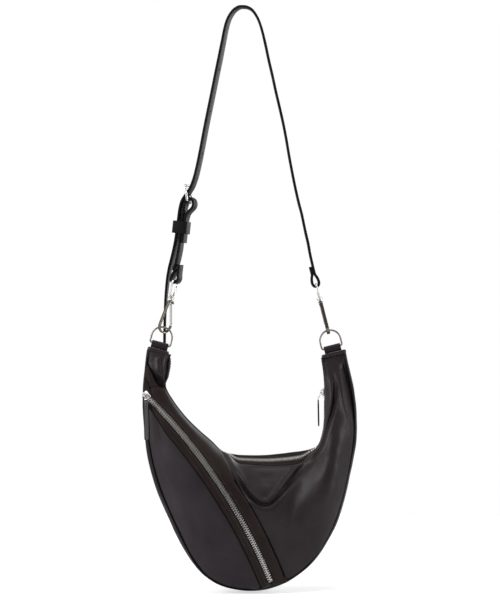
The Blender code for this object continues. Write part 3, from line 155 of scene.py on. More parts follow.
RIGHT_LEG = [
    (88.2, -326.0), (85.6, -312.0), (82.2, -297.3), (77.5, -274.6), (73.0, -257.4),
    (68.5, -237.4), (64.5, -217.5), (60.5, -196.2), (56.9, -174.9), (52.8, -153.6),
    (48.0, -132.3), (43.0, -111.1), (38.4, -89.8), (33.4, -68.5), (28.9, -47.2),
    (23.9, -27.0), (19.0, -13.6), (12.6, -3.6), (6.0, 0.7), (0.0, 1.65),
]
LEFT_LEG = [
    (-6.0, 0.9), (-12.4, -3.6), (-18.6, -13.0), (-22.8, -25.9), (-27.0, -47.2),
    (-31.1, -68.5), (-35.4, -89.8), (-39.6, -111.1), (-43.9, -132.3), (-48.3, -153.6),
    (-52.4, -174.9), (-56.5, -196.2), (-60.5, -214.8), (-64.1, -228.1), (-68.6, -239.4),
    (-74.6, -248.2), (-79.6, -256.4), (-82.4, -266.2), (-84.2, -278.6), (-85.9, -291.9),
    (-87.7, -305.2),
]
TAIL = [
    (-90.4, -318.5), (-93.9, -331.8), (-97.6, -345.0), (-100.4, -358.4), (-102.5, -374.4),
    (-104.0, -390.4), (-105.2, -411.6), (-105.7, -432.9), (-105.9, -456.9),
]
TAIL_BACK = [-2.5, 0.5, 5.0, 9.5, 14.5, 18.5, 21.5, 23.0, 23.5]
CROWN_TURN = [0.1, 0.2, 0.3, 0.4, 0.5, 0.6, 0.7, 0.8, 0.9, 0.95]
TAIL_TURN = [0.9, 0.75, 0.6, 0.45, 0.3, 0.15, 0.0, 0.0, 0.0]
BUCKLE_LINE = [
    (-89.0, -347.5), (-85.6, -337.2), (-82.6, -323.9), (-80.9, -311.9), (-79.4, -297.3),
    (-77.9, -284.0),
]

OUTER_EDGE = [
    (-128.4, -452.2), (-129.4, -456.0), (-131.2, -467.5), (-132.9, -486.1), (-134.2, -515.4),
    (-133.7, -547.3),
    (-131.5, -573.9), (-127.4, -599.2), (-121.4, -623.1), (-113.2, -647.0), (-102.7, -671.7),
    (-91.9, -694.6), (-79.9, -717.5), (-66.5, -738.5), (-51.2, -754.9), (-30.3, -767.5),
    (-4.7, -773.9), (20.1, -773.9), (46.2, -767.5), (69.6, -755.8), (91.0, -738.2),
    (108.4, -714.9), (123.4, -685.9), (135.2, -650.2), (143.2, -615.1), (148.3, -585.9),
    (150.8, -555.9), (150.2, -530.0), (145.9, -500.2), (140.8, -476.6), (137.4, -460.6),
    (136.5, -456.6),
]
FRONT_STATIONS = [
    ((-96.6, -460.2), "edge", (-127.9, -452.2)),
    ((-97.4, -463.8), "edge", (-128.6, -456.0)),
    ((-96.6, -471.5), "edge", (-129.6, -469.0)),
    ((-99.6, -488.8), "flap", 1),
    ((-104.0, -502.9), "seam", 0.03),
    ((-94.2, -521.2), "seam", 0.11),
    ((-77.8, -542.8), "seam", 0.21),
    ((-59.2, -561.3), "seam", 0.31),
    ((-43.2, -575.2), "seam", 0.40),
    ((-27.5, -590.6), "seam", 0.49),
    ((-9.3, -603.2), "seam", 0.59),
    ((8.6, -605.6), "seam", 0.69),
    ((28.6, -607.0), "seam", 0.80),
    ((48.5, -607.0), "seam", 0.89),
    ((65.8, -605.8), "seam", 0.995),
    ((79.9, -601.8), "edge", (63.0, -758.5)),
    ((91.1, -593.8), "edge", (94.0, -733.0)),
    ((98.7, -582.5), "edge", (114.5, -702.0)),
    ((104.0, -566.5), "edge", (130.4, -662.0)),
    ((106.9, -547.3), "edge", (141.6, -620.0)),
    ((107.3, -520.7), "edge", (148.8, -566.5)),
    ((107.6, -500.7), "edge", (147.4, -520.7)),
    ((106.0, -482.1), "edge", (142.2, -490.0)),
    ((103.8, -468.2), "edge", (134.9, -460.6)),
    ((102.9, -464.6), "edge", (134.2, -457.0)),
]
BACK_RIM = [
    (-96.6, -460.2), (-97.4, -463.8), (-96.6, -471.5), (-99.6, -488.8), (-104.0, -502.9),
    (-94.2, -521.2),
    (-77.8, -542.8), (-59.2, -561.3), (-43.2, -575.2), (-27.9, -588.8), (-10.4, -593.4),
    (8.6, -594.4), (28.6, -594.2), (48.5, -592.4), (64.0, -590.4), (78.5, -588.6),
    (90.1, -585.8), (98.7, -580.5), (104.0, -566.5), (106.9, -547.3), (107.3, -520.7),
    (107.6, -500.7), (106.0, -482.1), (103.8, -468.2), (102.9, -464.6),
]
FRONT_SWELL = [
    0.3, 1.8, 3.0, 3.5, 3.0, 3.0, 4.0, 5.0, 6.0, 7.0, 9.0, 11.5, 14.5,
    18.0, 21.0, 23.5, 25.0, 24.5, 22.0, 18.0, 12.0, 8.0, 4.0, 2.0, 0.3,
]
BACK_SWELL = [
    0.3, 1.8, 3.0, 4.0, 5.0, 6.0, 9.0, 12.0, 16.0, 19.0, 22.0, 24.0, 25.0,
    25.0, 24.0, 23.0, 21.0, 19.0, 16.0, 12.0, 9.0, 6.0, 4.0, 2.0, 0.3,
]
RIM_TOP = -0.5700
RIM_RISES = [(-0.0195, 0.0080, 0.0042), (0.0905, 0.0085, 0.0048)]
FLAP_NEAR = [(-130.2, -12.6, -472.5), (-131.2, -13.0, -486.0), (-129.4, -15.0, -498.0)]
FLAP_FAR = [(-127.6, -12.4, -470.9), (-121.4, -13.4, -482.4), (-116.6, -14.4, -495.0)]
FLAP_CORNER = (-110.4, -13.2, -502.4)
ZIP_TOP = (-130.4, -18.0, -512.0)
ZIP_MIDDLE = (-33.6, -48.0, -625.4)
ZIP_END = (36.8, -24.5, -761.2)
LOWER_STATIONS = [
    (0.05, (-132.0, -520.0)),
    (0.15, (-131.0, -550.0)),
    (0.25, (-128.4, -577.0)),
    (0.35, (-121.9, -606.0)),
    (0.45, (-111.0, -637.0)),
    (0.55, (-98.6, -667.5)),
    (0.65, (-85.6, -695.0)),
    (0.75, (-70.0, -722.0)),
    (0.84, (-51.5, -746.5)),
    (0.895, (-34.0, -760.0)),
    (0.94, (-12.0, -768.0)),
    (0.965, (9.0, -770.0)),
    (1.0, (17.0, -769.6)),
]
LOWER_SWELL = [0.5, 2.0, 4.0, 6.0, 7.5, 8.5, 8.5, 7.0, 4.5, 2.5, 1.0, 0.3, 0.1]

# Folds of the front, X and Z in millimetres
LIP = [
    (-27.5, -590.6), (-20.6, -594.8), (-12.6, -604.5), (-4.7, -616.5), (2.0, -628.4),
    (7.3, -636.7), (14.0, -644.6), (21.9, -650.8), (30.3, -652.6), (38.0, -647.6),
    (45.8, -639.0), (54.0, -629.1), (63.2, -618.1), (73.2, -607.6), (84.5, -598.8),
    (96.4, -589.3),
]
LEFT_ARM = [
    (-34.0, -586.0), (-20.6, -594.8), (-12.6, -604.5), (-4.7, -616.5), (2.0, -628.4),
    (7.3, -636.7), (15.0, -647.0), (26.0, -661.0), (37.0, -677.0), (50.0, -698.0),
]
RIGHT_ARM = [
    (-4.0, -695.0), (11.0, -677.0), (24.5, -661.0), (36.4, -647.6), (45.8, -637.6),
    (54.0, -628.1), (63.2, -617.1), (73.2, -606.6), (84.5, -598.8), (96.4, -589.3),
]
LIMB_RIDGE = [
    (120.0, -478.0), (123.4, -492.0), (125.0, -507.4), (123.0, -528.7),
    (116.4, -552.6), (108.4, -580.6), (99.0, -595.8), (86.0, -614.0),
]
LIMB_SPUR = [
    (124.6, -468.0), (128.3, -487.4), (131.0, -505.0), (133.7, -524.7), (138.3, -540.6),
    (141.0, -562.0),
]
LEFT_LIMB_FOLD = [(-98.2, -460.5), (-100.4, -470.2), (-102.0, -483.5), (-104.6, -496.8)]
LEFT_LIMB_STREAK = [(-113.2, -462.0), (-112.8, -476.0), (-110.0, -491.0)]
LOWER_STREAK = [(-113.0, -578.0), (-95.0, -627.0), (-77.8, -673.6), (-62.0, -709.0)]
LOWER_DENT = [(61.0, -700.0), (74.0, -716.0), (84.0, -733.0)]
FLAP_SEAM = [
    (-131.6, -490.4), (-129.0, -493.5), (-125.6, -498.9), (-123.0, -507.0), (-122.0, -513.5),
]


# Materials


def new_material(name):
    """A node material with its tree and shader."""
    material = bpy.data.materials.new(name)
    material.use_nodes = True
    return material, material.node_tree, material.node_tree.nodes["Principled BSDF"]


def fill(tree, node, inputs):
    """Sets a node's inputs, each to a value or by a link from a socket."""
    for key, value in inputs.items():
        if isinstance(value, bpy.types.NodeSocket):
            tree.links.new(value, node.inputs[key])
        else:
            node.inputs[key].default_value = value


def add_node(tree, kind, inputs=None, **settings):
    """A shader node with its settings and inputs."""
    node = tree.nodes.new("ShaderNode" + kind)
    for key, value in settings.items():
        setattr(node, key, value)
    fill(tree, node, inputs or {})
    return node


def mixed_colour(tree, factor, first, second):
    """A colour between two, by a factor socket."""
    inputs = {"Factor": factor, "A": (*first, 1.0), "B": (*second, 1.0)}
    return add_node(tree, "Mix", inputs, data_type="RGBA").outputs["Result"]


def noise_texture(tree, vector, scale, detail, roughness=0.5):
    """A noise texture's value."""
    inputs = {"Scale": scale, "Detail": detail, "Roughness": roughness, "Vector": vector}
    return add_node(tree, "TexNoise", inputs).outputs["Fac"]


def ranged(tree, value, low, high, out_low, out_high):
    """A value mapped from one range to another."""
    inputs = {
        "From Min": low, "From Max": high, "To Min": out_low, "To Max": out_high, "Value": value,
    }
    return add_node(tree, "MapRange", inputs).outputs["Result"]


def bump(tree, height, strength, distance, under=None):
    """A bumped normal, on top of another one."""
    inputs = {"Strength": strength, "Distance": distance, "Height": height}
    if under:
        inputs["Normal"] = under
    return add_node(tree, "Bump", inputs).outputs["Normal"]


def leather(name, dark, light, roughness, shine, grain=1.0, wrinkle=1.0):
    """Soft leather: pebbled grain, faint creases, uneven sheen."""
    material, tree, shader = new_material(name)
    where = add_node(tree, "TexCoord").outputs["Object"]
    cloud = noise_texture(tree, where, 28.0, 3.0)
    fine = noise_texture(tree, where, 900.0, 4.0, 0.6)
    folds = noise_texture(tree, where, 140.0, 5.0, 0.62)
    shade = ranged(tree, cloud, 0.35, 0.65, 0.0, 1.0)
    pebbles = add_node(tree, "TexVoronoi", {"Scale": 1100.0, "Vector": where}, feature="SMOOTH_F1")
    small = bump(tree, pebbles.outputs["Distance"], 0.30 * grain, 0.0003)
    fill(tree, shader, {
        "Base Color": mixed_colour(tree, shade, dark, light),
        "Roughness": ranged(tree, fine, 0.3, 0.7, roughness - 0.05, roughness + 0.07),
        "Normal": bump(tree, folds, 0.35 * wrinkle, 0.0009, small),
        "Specular IOR Level": shine,
    })
    return material


def metal(name, colour, roughness):
    """Plated metal with faint smudges."""
    material, tree, shader = new_material(name)
    where = add_node(tree, "TexCoord").outputs["Object"]
    cloud = noise_texture(tree, where, 260.0, 4.0)
    darker = (colour[0] * 0.82, colour[1] * 0.82, colour[2] * 0.80)
    shade = ranged(tree, cloud, 0.3, 0.7, 0.0, 1.0)
    fill(tree, shader, {
        "Base Color": mixed_colour(tree, shade, colour, darker),
        "Roughness": ranged(tree, cloud, 0.3, 0.7, roughness, roughness + 0.06),
        "Normal": bump(tree, noise_texture(tree, where, 2200.0, 2.0), 0.06, 0.0001),
        "Metallic": 1.0,
        "Specular Tint": (0.45, 0.43, 0.42, 1.0),
    })
    return material


def cloth(name, dark, light, scale):
    """Woven cloth: crossed threads."""
    material, tree, shader = new_material(name)
    where = add_node(tree, "TexCoord").outputs["Object"]
    inputs = {"Scale": scale, "Vector": where}
    warp, weft = (add_node(tree, "TexWave", inputs, bands_direction=way) for way in "XZ")
    inputs = {0: warp.outputs["Fac"], 1: weft.outputs["Fac"]}
    both = add_node(tree, "Math", inputs, operation="MULTIPLY").outputs["Value"]
    fill(tree, shader, {
        "Base Color": mixed_colour(tree, both, dark, light),
        "Normal": bump(tree, both, 0.5, 0.0003),
        "Roughness": 0.85,
        "Sheen Weight": 0.2,
    })
    return material


BAG_LEATHER = leather(
    "bag_leather", (0.0172, 0.0120, 0.0154), (0.0240, 0.0178, 0.0218), 0.33, 0.14,
)
UPPER_LEATHER = leather(
    "upper_leather", (0.0172, 0.0126, 0.0142), (0.0240, 0.0184, 0.0204), 0.33, 0.14,
)
# A darker, duller copy of the bag's leather: painted shade on the side strip
SHADED_SIDE_LEATHER = leather(
    "side_leather_painted_shade", (0.0080, 0.0060, 0.0072), (0.0115, 0.0088, 0.0104), 0.44, 0.05,
)
# Near-black: edge paint on the pulls, and painted shade in the seams' gaps and beside the pulls
EDGE_PAINT_AND_SHADE = leather(
    "edge_paint_and_shade", (0.0012, 0.0010, 0.0010), (0.0025, 0.0022, 0.0022), 0.60, 0.03,
    0.5, 0.4,
)
FACING_LEATHER = leather(
    "facing_leather", (0.0150, 0.0098, 0.0086), (0.0205, 0.0140, 0.0124),
    0.42, 0.07,
)
STRAP_LEATHER = leather(
    "strap_leather", (0.0092, 0.0084, 0.0084), (0.0128, 0.0118, 0.0118),
    0.42, 0.026, 0.5, 0.4,
)
# Several times paler than the strap's leather: painted sheen on the pulls' faces
PAINTED_SHEEN_PULL_LEATHER = leather(
    "pull_leather_painted_sheen", (0.052, 0.050, 0.050), (0.068, 0.065, 0.065), 0.34, 0.25,
    0.5, 0.4,
)
THREAD = cloth("thread", (0.008, 0.008, 0.008), (0.020, 0.019, 0.019), 900.0)
TAPE = cloth("zip_tape", (0.006, 0.006, 0.006), (0.014, 0.013, 0.013), 500.0)
LINING = cloth("lining", (0.006, 0.006, 0.006), (0.013, 0.013, 0.014), 350.0)
# Nickel darkened, and the hooks' nickel most: painted shade of the dark surroundings that the metal
# mirrors
NICKEL = metal("polished_nickel", (0.24, 0.220, 0.205), 0.14)
SHADED_HOOK_NICKEL = metal("hook_nickel_painted_shade", (0.150, 0.134, 0.112), 0.16)
BRIGHT_NICKEL = metal("bright_nickel", (0.60, 0.585, 0.57), 0.16)
# Pale metal, raised further as painted reflection on the teeth
TEETH = metal("teeth_metal", (0.95, 0.90, 0.88), 0.30)


# Curves and meshes

def smooth_through(points, steps):
    """Points of a smooth curve through the given ones."""
    last = len(points) - 1
    result = []
    for index in range(last):
        before, start = points[max(index - 1, 0)], points[index]
        end, after = points[index + 1], points[min(index + 2, last)]
        for step in range(steps):
            t = step / steps
            linear = (end - before) * t
            square = (before * 2 - start * 5 + end * 4 - after) * t ** 2
            cube = (start * 3 - before - end * 3 + after) * t ** 3
            result.append((start * 2 + linear + square + cube) * 0.5)
    result.append(points[last] * 1.0)
    return result


def smooth_numbers(values, steps):
    """Numbers of a smooth curve through the given ones."""
    return [v.x for v in smooth_through([Vector((value, 0.0, 0.0)) for value in values], steps)]


def resampled(points, count):
    """Points spaced evenly along a line."""
    lengths = [0.0]
    for start, end in zip(points, points[1:]):
        lengths.append(lengths[-1] + (end - start).length)
    result = []
    cursor = 0
    for index in range(count):
        wanted = lengths[-1] * index / (count - 1)
        while cursor < len(points) - 2 and lengths[cursor + 1] < wanted:
            cursor += 1
        share = (wanted - lengths[cursor]) / (lengths[cursor + 1] - lengths[cursor])
        result.append(points[cursor].lerp(points[cursor + 1], share))
    return result


def evenly(points, pitch):
    """Points along a line at a pitch, each with the line's direction there."""
    total = sum((b - a).length for a, b in zip(points, points[1:]))
    spaced = resampled(points, max(int(total / pitch), 2) + 1)
    return [((a + b) / 2, b - a) for a, b in zip(spaced, spaced[1:])]


def step_up(low, high, value):
    """An eased step from 0 to 1."""
    t = min(max((value - low) / (high - low), 0.0), 1.0)
    return t * t * (3.0 - 2.0 * t)


def put(item, body, *nodes):
    """Puts a piece on its body, in place of the CAD nodes that it dresses."""
    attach(item, body)
    if nodes:
        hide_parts(*nodes)


def placed(item):
    """Puts an object in the scene."""
    bpy.context.scene.collection.objects.link(item)
    return item


def object_from(name, verts, faces, material, smooth=True):
    """An object from points and faces."""
    mesh = bpy.data.meshes.new(name)
    mesh.from_pydata(verts, [], faces)
    mesh.materials.append(material)
    if smooth:
        mesh.shade_smooth()
    mesh.update()
    return placed(bpy.data.objects.new(name, mesh))


def grid(name, rows, material, thickness, outward):
    """A sheet of leather or cloth over rows of points, its thickness inwards."""
    width = len(rows[0])
    faces = []
    for row in range(len(rows) - 1):
        for corner in range(row * width, (row + 1) * width - 1):
            faces.append((corner, corner + 1, corner + 1 + width, corner + width))
    item = object_from(name, [point for row in rows for point in row], faces, material)
    polygons = item.data.polygons
    if sum(outward(face.center).dot(face.normal) * face.area for face in polygons) < 0.0:
        item.data.flip_normals()
    modifier = item.modifiers.new("thickness", "SOLIDIFY")
    modifier.thickness = thickness
    modifier.offset = -1.0
    return item


def solid(name, groups, material, closed=False, smooth=True, merged=False):
    """One mesh of closed shells, each over rings of points, its faces turned outward."""
    verts = []
    faces = []
    for rings in groups:
        start, size, count = len(verts), len(rings[0]), len(rings)
        for ring in range(count if closed else count - 1):
            near, far = start + ring * size, start + (ring + 1) % count * size
            for corner in range(size):
                after = (corner + 1) % size
                faces.append((near + corner, near + after, far + after, far + corner))
        if not closed:
            faces.append(tuple(range(start, start + size)))
            faces.append(tuple(range(start + (count - 1) * size, start + count * size))[::-1])
        verts += [point for ring in rings for point in ring]
    item = object_from(name, verts, faces, material, smooth)
    work = bmesh.new()
    work.from_mesh(item.data)
    if merged:
        bmesh.ops.remove_doubles(work, verts=work.verts, dist=0.000001)
    bmesh.ops.recalc_face_normals(work, faces=work.faces)
    work.to_mesh(item.data)
    work.free()
    return item


def sweep(name, centre, across, section, material, closed=False):
    """A solid along a line; section has pairs across and square to it, or gives them by share."""
    count = len(centre)
    rings = []
    for index, point in enumerate(centre):
        if closed:
            tangent = centre[(index + 1) % count] - centre[index - 1]
        else:
            tangent = centre[min(index + 1, count - 1)] - centre[max(index - 1, 0)]
        tangent.normalize()
        wanted = across[index] if isinstance(across, list) else across
        side = (wanted - tangent * wanted.dot(tangent)).normalized()
        normal = tangent.cross(side)
        pairs = section(index / (count - 1)) if callable(section) else section
        rings.append([point + side * wide + normal * deep for wide, deep in pairs])
    return solid(name, [rings], material, closed)


def rounded_loop(half_wide, low, high, corner, steps):
    """Points round a rectangle with rounded corners, as pairs."""
    centres = [
        (half_wide - corner, high - corner, 0.0), (-half_wide + corner, high - corner, 90.0),
        (-half_wide + corner, low + corner, 180.0), (half_wide - corner, low + corner, 270.0),
    ]
    pairs = []
    for wide, tall, start in centres:
        for step in range(steps + 1):
            angle = math.radians(start + 90.0 * step / steps)
            pairs.append((wide + corner * math.cos(angle), tall + corner * math.sin(angle)))
    return pairs


def rounded_section(width, thickness, corner, steps=3):
    """A rounded rectangle about its middle, as pairs."""
    return rounded_loop(width / 2, -thickness / 2, thickness / 2, corner, steps)


def wire(name, points, diameter, material, closed=False, resolution=5):
    """A round wire along points."""
    curve = bpy.data.curves.new(name, "CURVE")
    curve.dimensions = "3D"
    curve.bevel_depth = diameter / 2
    curve.bevel_resolution = resolution
    curve.use_fill_caps = True
    curve.twist_mode = "MINIMUM"
    spline = curve.splines.new("POLY")
    spline.points.add(len(points) - 1)
    for place, point in zip(spline.points, points):
        place.co = (*point, 1.0)
    spline.use_cyclic_u = closed
    spline.use_smooth = True
    curve.materials.append(material)
    return placed(bpy.data.objects.new(name, curve))


def add_bevel(item, width, segments=2, angle=35.0):
    """Rounds a piece's edges."""
    modifier = item.modifiers.new("rounding", "BEVEL")
    modifier.width = width
    modifier.segments = segments
    modifier.limit_method = "ANGLE"
    modifier.angle_limit = math.radians(angle)


class Placing:
    """A local frame: an origin and three directions."""

    def __init__(self, origin, side, up):
        self.origin = origin
        self.side = side.normalized()
        self.up = up.normalized()
        self.depth = self.side.cross(self.up).normalized()

    def point(self, side, up, depth=0.0):
        """A point given along the frame's directions."""
        return self.origin + self.side * side + self.up * up + self.depth * depth


def turned_rings(holder, profile, steps):
    """Rings about a holder's up direction, from radius and height pairs."""
    turns = [2 * math.pi * step / steps for step in range(steps)]
    return [
        [holder.point(radius * math.cos(turn), height, radius * math.sin(turn)) for turn in turns]
        for radius, height in profile
    ]


def lathe(name, holder, profile, material):
    """A turned piece about a holder's up direction; a profile that closes makes a ring."""
    closed = profile[0] == profile[-1]
    rings = turned_rings(holder, profile[:-1] if closed else profile, 32)
    item = solid(name, [rings], material, closed, merged=True)
    add_bevel(item, 0.0002)
    return item


def cut_out(item, rings):
    """Cuts a closed shell of rings out of a piece."""
    cutter = solid("cutter", [rings], STRAP_LEATHER, smooth=False)
    modifier = item.modifiers.new("cut", "BOOLEAN")
    modifier.operation = "DIFFERENCE"
    modifier.solver = "EXACT"
    modifier.object = cutter
    graph = bpy.context.evaluated_depsgraph_get()
    mesh = bpy.data.meshes.new_from_object(item.evaluated_get(graph))
    item.modifiers.clear()
    item.data = mesh
    bpy.data.objects.remove(cutter, do_unlink=True)


def cut_hole(item, middle, direction, diameter, length):
    """Cuts a round hole about a point along a direction."""
    holder = Placing(middle, direction.orthogonal().normalized(), direction)
    profile = [(diameter / 2, -length / 2), (diameter / 2, length / 2)]
    cut_out(item, turned_rings(holder, profile, 24))


STITCH_PROFILE = [(-0.5, 0.25), (-0.36, 0.85), (0.0, 1.0), (0.36, 0.85), (0.5, 0.25)]


def stitches(name, places, length, width, body):
    """A row of short threads; each place is a point, a direction along and one outward."""
    turns = [2 * math.pi * step / 6 for step in range(6)]
    groups = []
    for point, along, outward in places:
        along = along.normalized()
        across = along.cross(outward).normalized()
        up = across.cross(along)
        ring = [across * math.cos(turn) + up * math.sin(turn) * 0.8 for turn in turns]
        groups.append([
            [point + along * length * reach + part * width / 2 * swell for part in ring]
            for reach, swell in STITCH_PROFILE
        ])
    put(solid(name, groups, THREAD), body)


def flat_point(pair):
    """A point of the right leg's plane, from X and Z in millimetres."""
    return Vector((pair[0] * MM, 0.0, pair[1] * MM))


def turned_point(pair):
    """A point of the left leg's plane, which is turned about the contact of hook and ring."""
    back = -(pair[0] - LEFT_CONTACT[0]) * math.tan(STRAP_TWIST)
    return Vector((pair[0] * MM, back * MM, pair[1] * MM))


def millimetres(places):
    """Points given in millimetres."""
    return [Vector(place) * MM for place in places]


LEFT_ACROSS = Vector((math.sin(STRAP_TWIST), math.cos(STRAP_TWIST), 0.0))
LAYER_OFFSET = STRAP_THICKNESS / 2 + LAYER_GAP / 2
LOOP_BOTTOM = EYE_WIRE / 2 + LAYER_GAP + STRAP_THICKNESS / 2
PRONG_REACH = BUCKLE_WIRE / 2 + GAP + PRONG_WIRE / 2
LEFT_HOOK_POINT = turned_point(LEFT_CONTACT)
RIGHT_HOOK_POINT = flat_point(RIGHT_CONTACT)
LEFT_BAR = turned_point(LEFT_EYE_BAR)
RIGHT_BAR = flat_point(RIGHT_EYE_BAR)


# Strap, buckle and keeper

def eye_loop(contact, bar, across, rise):
    """The strap's loop round an eye's bar, from its back layer to its front layer."""
    up = (bar - contact).normalized()
    holder = Placing(bar, across.cross(up), up)
    wide = LOOP_BOTTOM * 1.36
    half = [
        (LAYER_OFFSET, rise), (LAYER_OFFSET, LOOP_CLOSE), (LAYER_OFFSET + 0.0015, 0.0092),
        (wide, 0.0045), (wide * 0.97, 0.0005), (wide * 0.62, -LOOP_BOTTOM * 0.72),
    ]
    back = [(-side, tall) for side, tall in half]
    back.insert(1, (-LAYER_OFFSET, (rise + LOOP_CLOSE) / 2))
    pairs = back + [(0.0, -LOOP_BOTTOM)] + half[::-1]
    return holder, [holder.point(side, tall) for side, tall in pairs]


def strap_stitches(centre, across, low, high):
    """Two rows of threads along the strap's edges, on its face towards the loop."""
    places = []
    for edge in (-1.0, 1.0):
        line = []
        for index in range(low, high):
            normal = (centre[index + 1] - centre[index - 1]).normalized().cross(across[index])
            side = across[index] * edge * (STRAP_WIDTH / 2 - STITCH_INSET)
            line.append(centre[index] + side - normal * (STRAP_THICKNESS / 2 + STITCH_LIFT))
        for point, along in evenly(line, STITCH_PITCH):
            places.append((point, along, along.cross(across[low])))
    stitches("right_loop_stitches", places, STITCH_LENGTH, THREAD_WIDTH, "strap")


def build_long_strap():
    """The long strap, from the right hook's eye over the crown to its free tail."""
    loop = eye_loop(RIGHT_HOOK_POINT, RIGHT_BAR, BACK, 0.0240)[1]
    leg = [flat_point(pair) for pair in RIGHT_LEG]
    crown = [turned_point(pair) for pair in LEFT_LEG]
    for point, pair in zip(crown, LEFT_LEG):
        point.y *= step_up(0.0, 150.0, -pair[1])
    tail = [Vector((x * MM, back * MM, z * MM)) for (x, z), back in zip(TAIL, TAIL_BACK)]
    shares = [0.0] * (len(loop) + len(leg) - len(CROWN_TURN) // 2) + CROWN_TURN
    shares += [1.0] * (len(loop) + len(leg) + len(crown) - len(shares)) + TAIL_TURN
    steps = 8
    centre = smooth_through(loop + leg + crown + tail, steps)
    last = len(centre) - 1
    across = []
    for index, share in enumerate(smooth_numbers(shares, steps)):
        angle = STRAP_TWIST * share
        side = Vector((math.sin(angle), math.cos(angle), 0.0))
        tangent = (centre[min(index + 1, last)] - centre[max(index - 1, 0)]).normalized()
        across.append((side - tangent * side.dot(tangent)).normalized())

    def section(share):
        """The strap's section, its tail's end rounded."""
        left = (1.0 - share) * last * 0.0018
        width = STRAP_WIDTH * math.sqrt(max(1.0 - (1.0 - min(left / 0.010, 1.0)) ** 2, 0.05))
        return rounded_section(max(width, 0.006), STRAP_THICKNESS, STRAP_CORNER, 4)

    strap = sweep("long_strap_leather", centre, across, section, STRAP_LEATHER)
    holder = buckle_placing()
    low = holder.point(-PRONG_REACH, BUCKLE_LENGTH * 0.2)
    direction = (holder.point(-PRONG_REACH, BUCKLE_LENGTH) - low).normalized()
    nearest = min(range(last + 1), key=lambda i: (centre[i] - low).cross(direction).length)
    middle = low + direction * (centre[nearest] - low).dot(direction)
    cut_hole(strap, middle, direction, PRONG_WIRE + PRONG_PLAY, 0.022)
    for count in (-3, -2, -1, 1, 2):
        step = 1 if count > 0 else -1
        index = nearest
        left = abs(count * HOLE_PITCH)
        while left > 0.0 and 1 < index < last - 1:
            left -= (centre[index + step] - centre[index]).length
            index += step
        normal = (centre[index + 1] - centre[index - 1]).normalized().cross(across[index])
        cut_hole(strap, centre[index], normal, HOLE_DIAMETER, STRAP_THICKNESS * 3)
    strap.data.set_sharp_from_angle(angle=math.radians(40.0))
    put(strap, "strap", "long_strap")
    first = len(loop) * steps + 2
    strap_stitches(centre, across, first, first + 16)


def buckle_placing():
    """The buckle frame's own directions, from heel bar to far bar."""
    up = Matrix.Rotation(BUCKLE_TILT, 3, LEFT_ACROSS) @ UP
    return Placing(turned_point(HEEL_BAR), LEFT_ACROSS.cross(up), up)


def build_buckle():
    """The buckle's frame and its prong."""
    holder = buckle_placing()
    half = STRAP_WIDTH / 2 + BUCKLE_ROOM + BUCKLE_WIRE / 2
    loop = rounded_loop(half, 0.0, BUCKLE_LENGTH, LOOP_CORNER, 8)
    points = [holder.point(0.0, tall, wide) for wide, tall in loop]
    frame_wire = wire("buckle_frame_metal", points, BUCKLE_WIRE, BRIGHT_NICKEL, closed=True)
    put(frame_wire, "buckle_frame", "buckle_frame")
    turns = [math.radians(-60.0 - 5.0 * step) for step in range(25)]
    pairs = [(PRONG_REACH * math.cos(turn), PRONG_REACH * math.sin(turn)) for turn in turns]
    pairs += [(-PRONG_REACH, BUCKLE_LENGTH * step / 20) for step in range(2, 21)]
    pairs += [
        (-PRONG_REACH + 0.0001, BUCKLE_LENGTH + 0.0012),
        (-PRONG_REACH + 0.0003, BUCKLE_LENGTH + 0.0022),
    ]
    points = [holder.point(side, tall) for side, tall in pairs]
    prong = wire("buckle_prong_metal", points, PRONG_WIRE, BRIGHT_NICKEL)
    put(prong, "buckle_prong", "buckle_prong")


def build_buckle_strap():
    """The short strap: round the left eye below and round the heel bar above."""
    heel = turned_point(HEEL_BAR)
    eye, loop = eye_loop(LEFT_HOOK_POINT, LEFT_BAR, LEFT_ACROSS, LOOP_CLOSE)
    knots = [turned_point(pair) for pair in BUCKLE_LINE]
    last = len(knots) - 1
    front = []
    back = []
    for index, knot in enumerate(knots):
        tangent = (knots[min(index + 1, last)] - knots[max(index - 1, 0)]).normalized()
        side = LEFT_ACROSS.cross(tangent).normalized()
        front.append(knot - side * LAYER_OFFSET)
        back.append(knot + side * LAYER_OFFSET)
    reach = BUCKLE_WIRE / 2 + LAYER_GAP + STRAP_THICKNESS / 2
    down = (knots[-1] - heel).normalized()
    fold = Placing(heel, LEFT_ACROSS.cross(-down), -down)
    pairs = [
        (-reach * 1.02, -0.0120), (-reach * 1.04, -0.0055), (-reach * 1.04, -0.0005),
        (-reach * 0.80, 0.0026), (-reach * 0.10, reach * 1.10), (reach * 0.95, reach * 1.00),
        (reach * 1.85, 0.0008), (reach * 2.25, -0.0038), (reach * 1.95, -0.0084),
        (reach * 1.18, -0.0130), (reach * 0.58, -0.0175),
    ]
    top = front[:-1] + [fold.point(side, up) for side, up in pairs] + back[::-1]
    line = [eye.point(LAYER_OFFSET, 0.0215)] + loop[2:12][::-1] + top[:-3]
    section = rounded_section(STRAP_WIDTH, STRAP_THICKNESS, STRAP_CORNER, 4)
    centre = smooth_through(line, 8)
    strap = sweep("buckle_strap_leather", centre, LEFT_ACROSS, section, STRAP_LEATHER)
    holder = buckle_placing()
    half = (PRONG_WIRE + PRONG_PLAY) / 2
    slot = ((-0.0065, -0.0060), (0.0095, -0.0060), (0.0095, 0.0090), (-0.0065, 0.0090))
    cut_out(strap, [[holder.point(*pair, depth) for pair in slot] for depth in (-half, half)])
    strap.data.set_sharp_from_angle(angle=math.radians(40.0))
    put(strap, "strap", "buckle_strap")


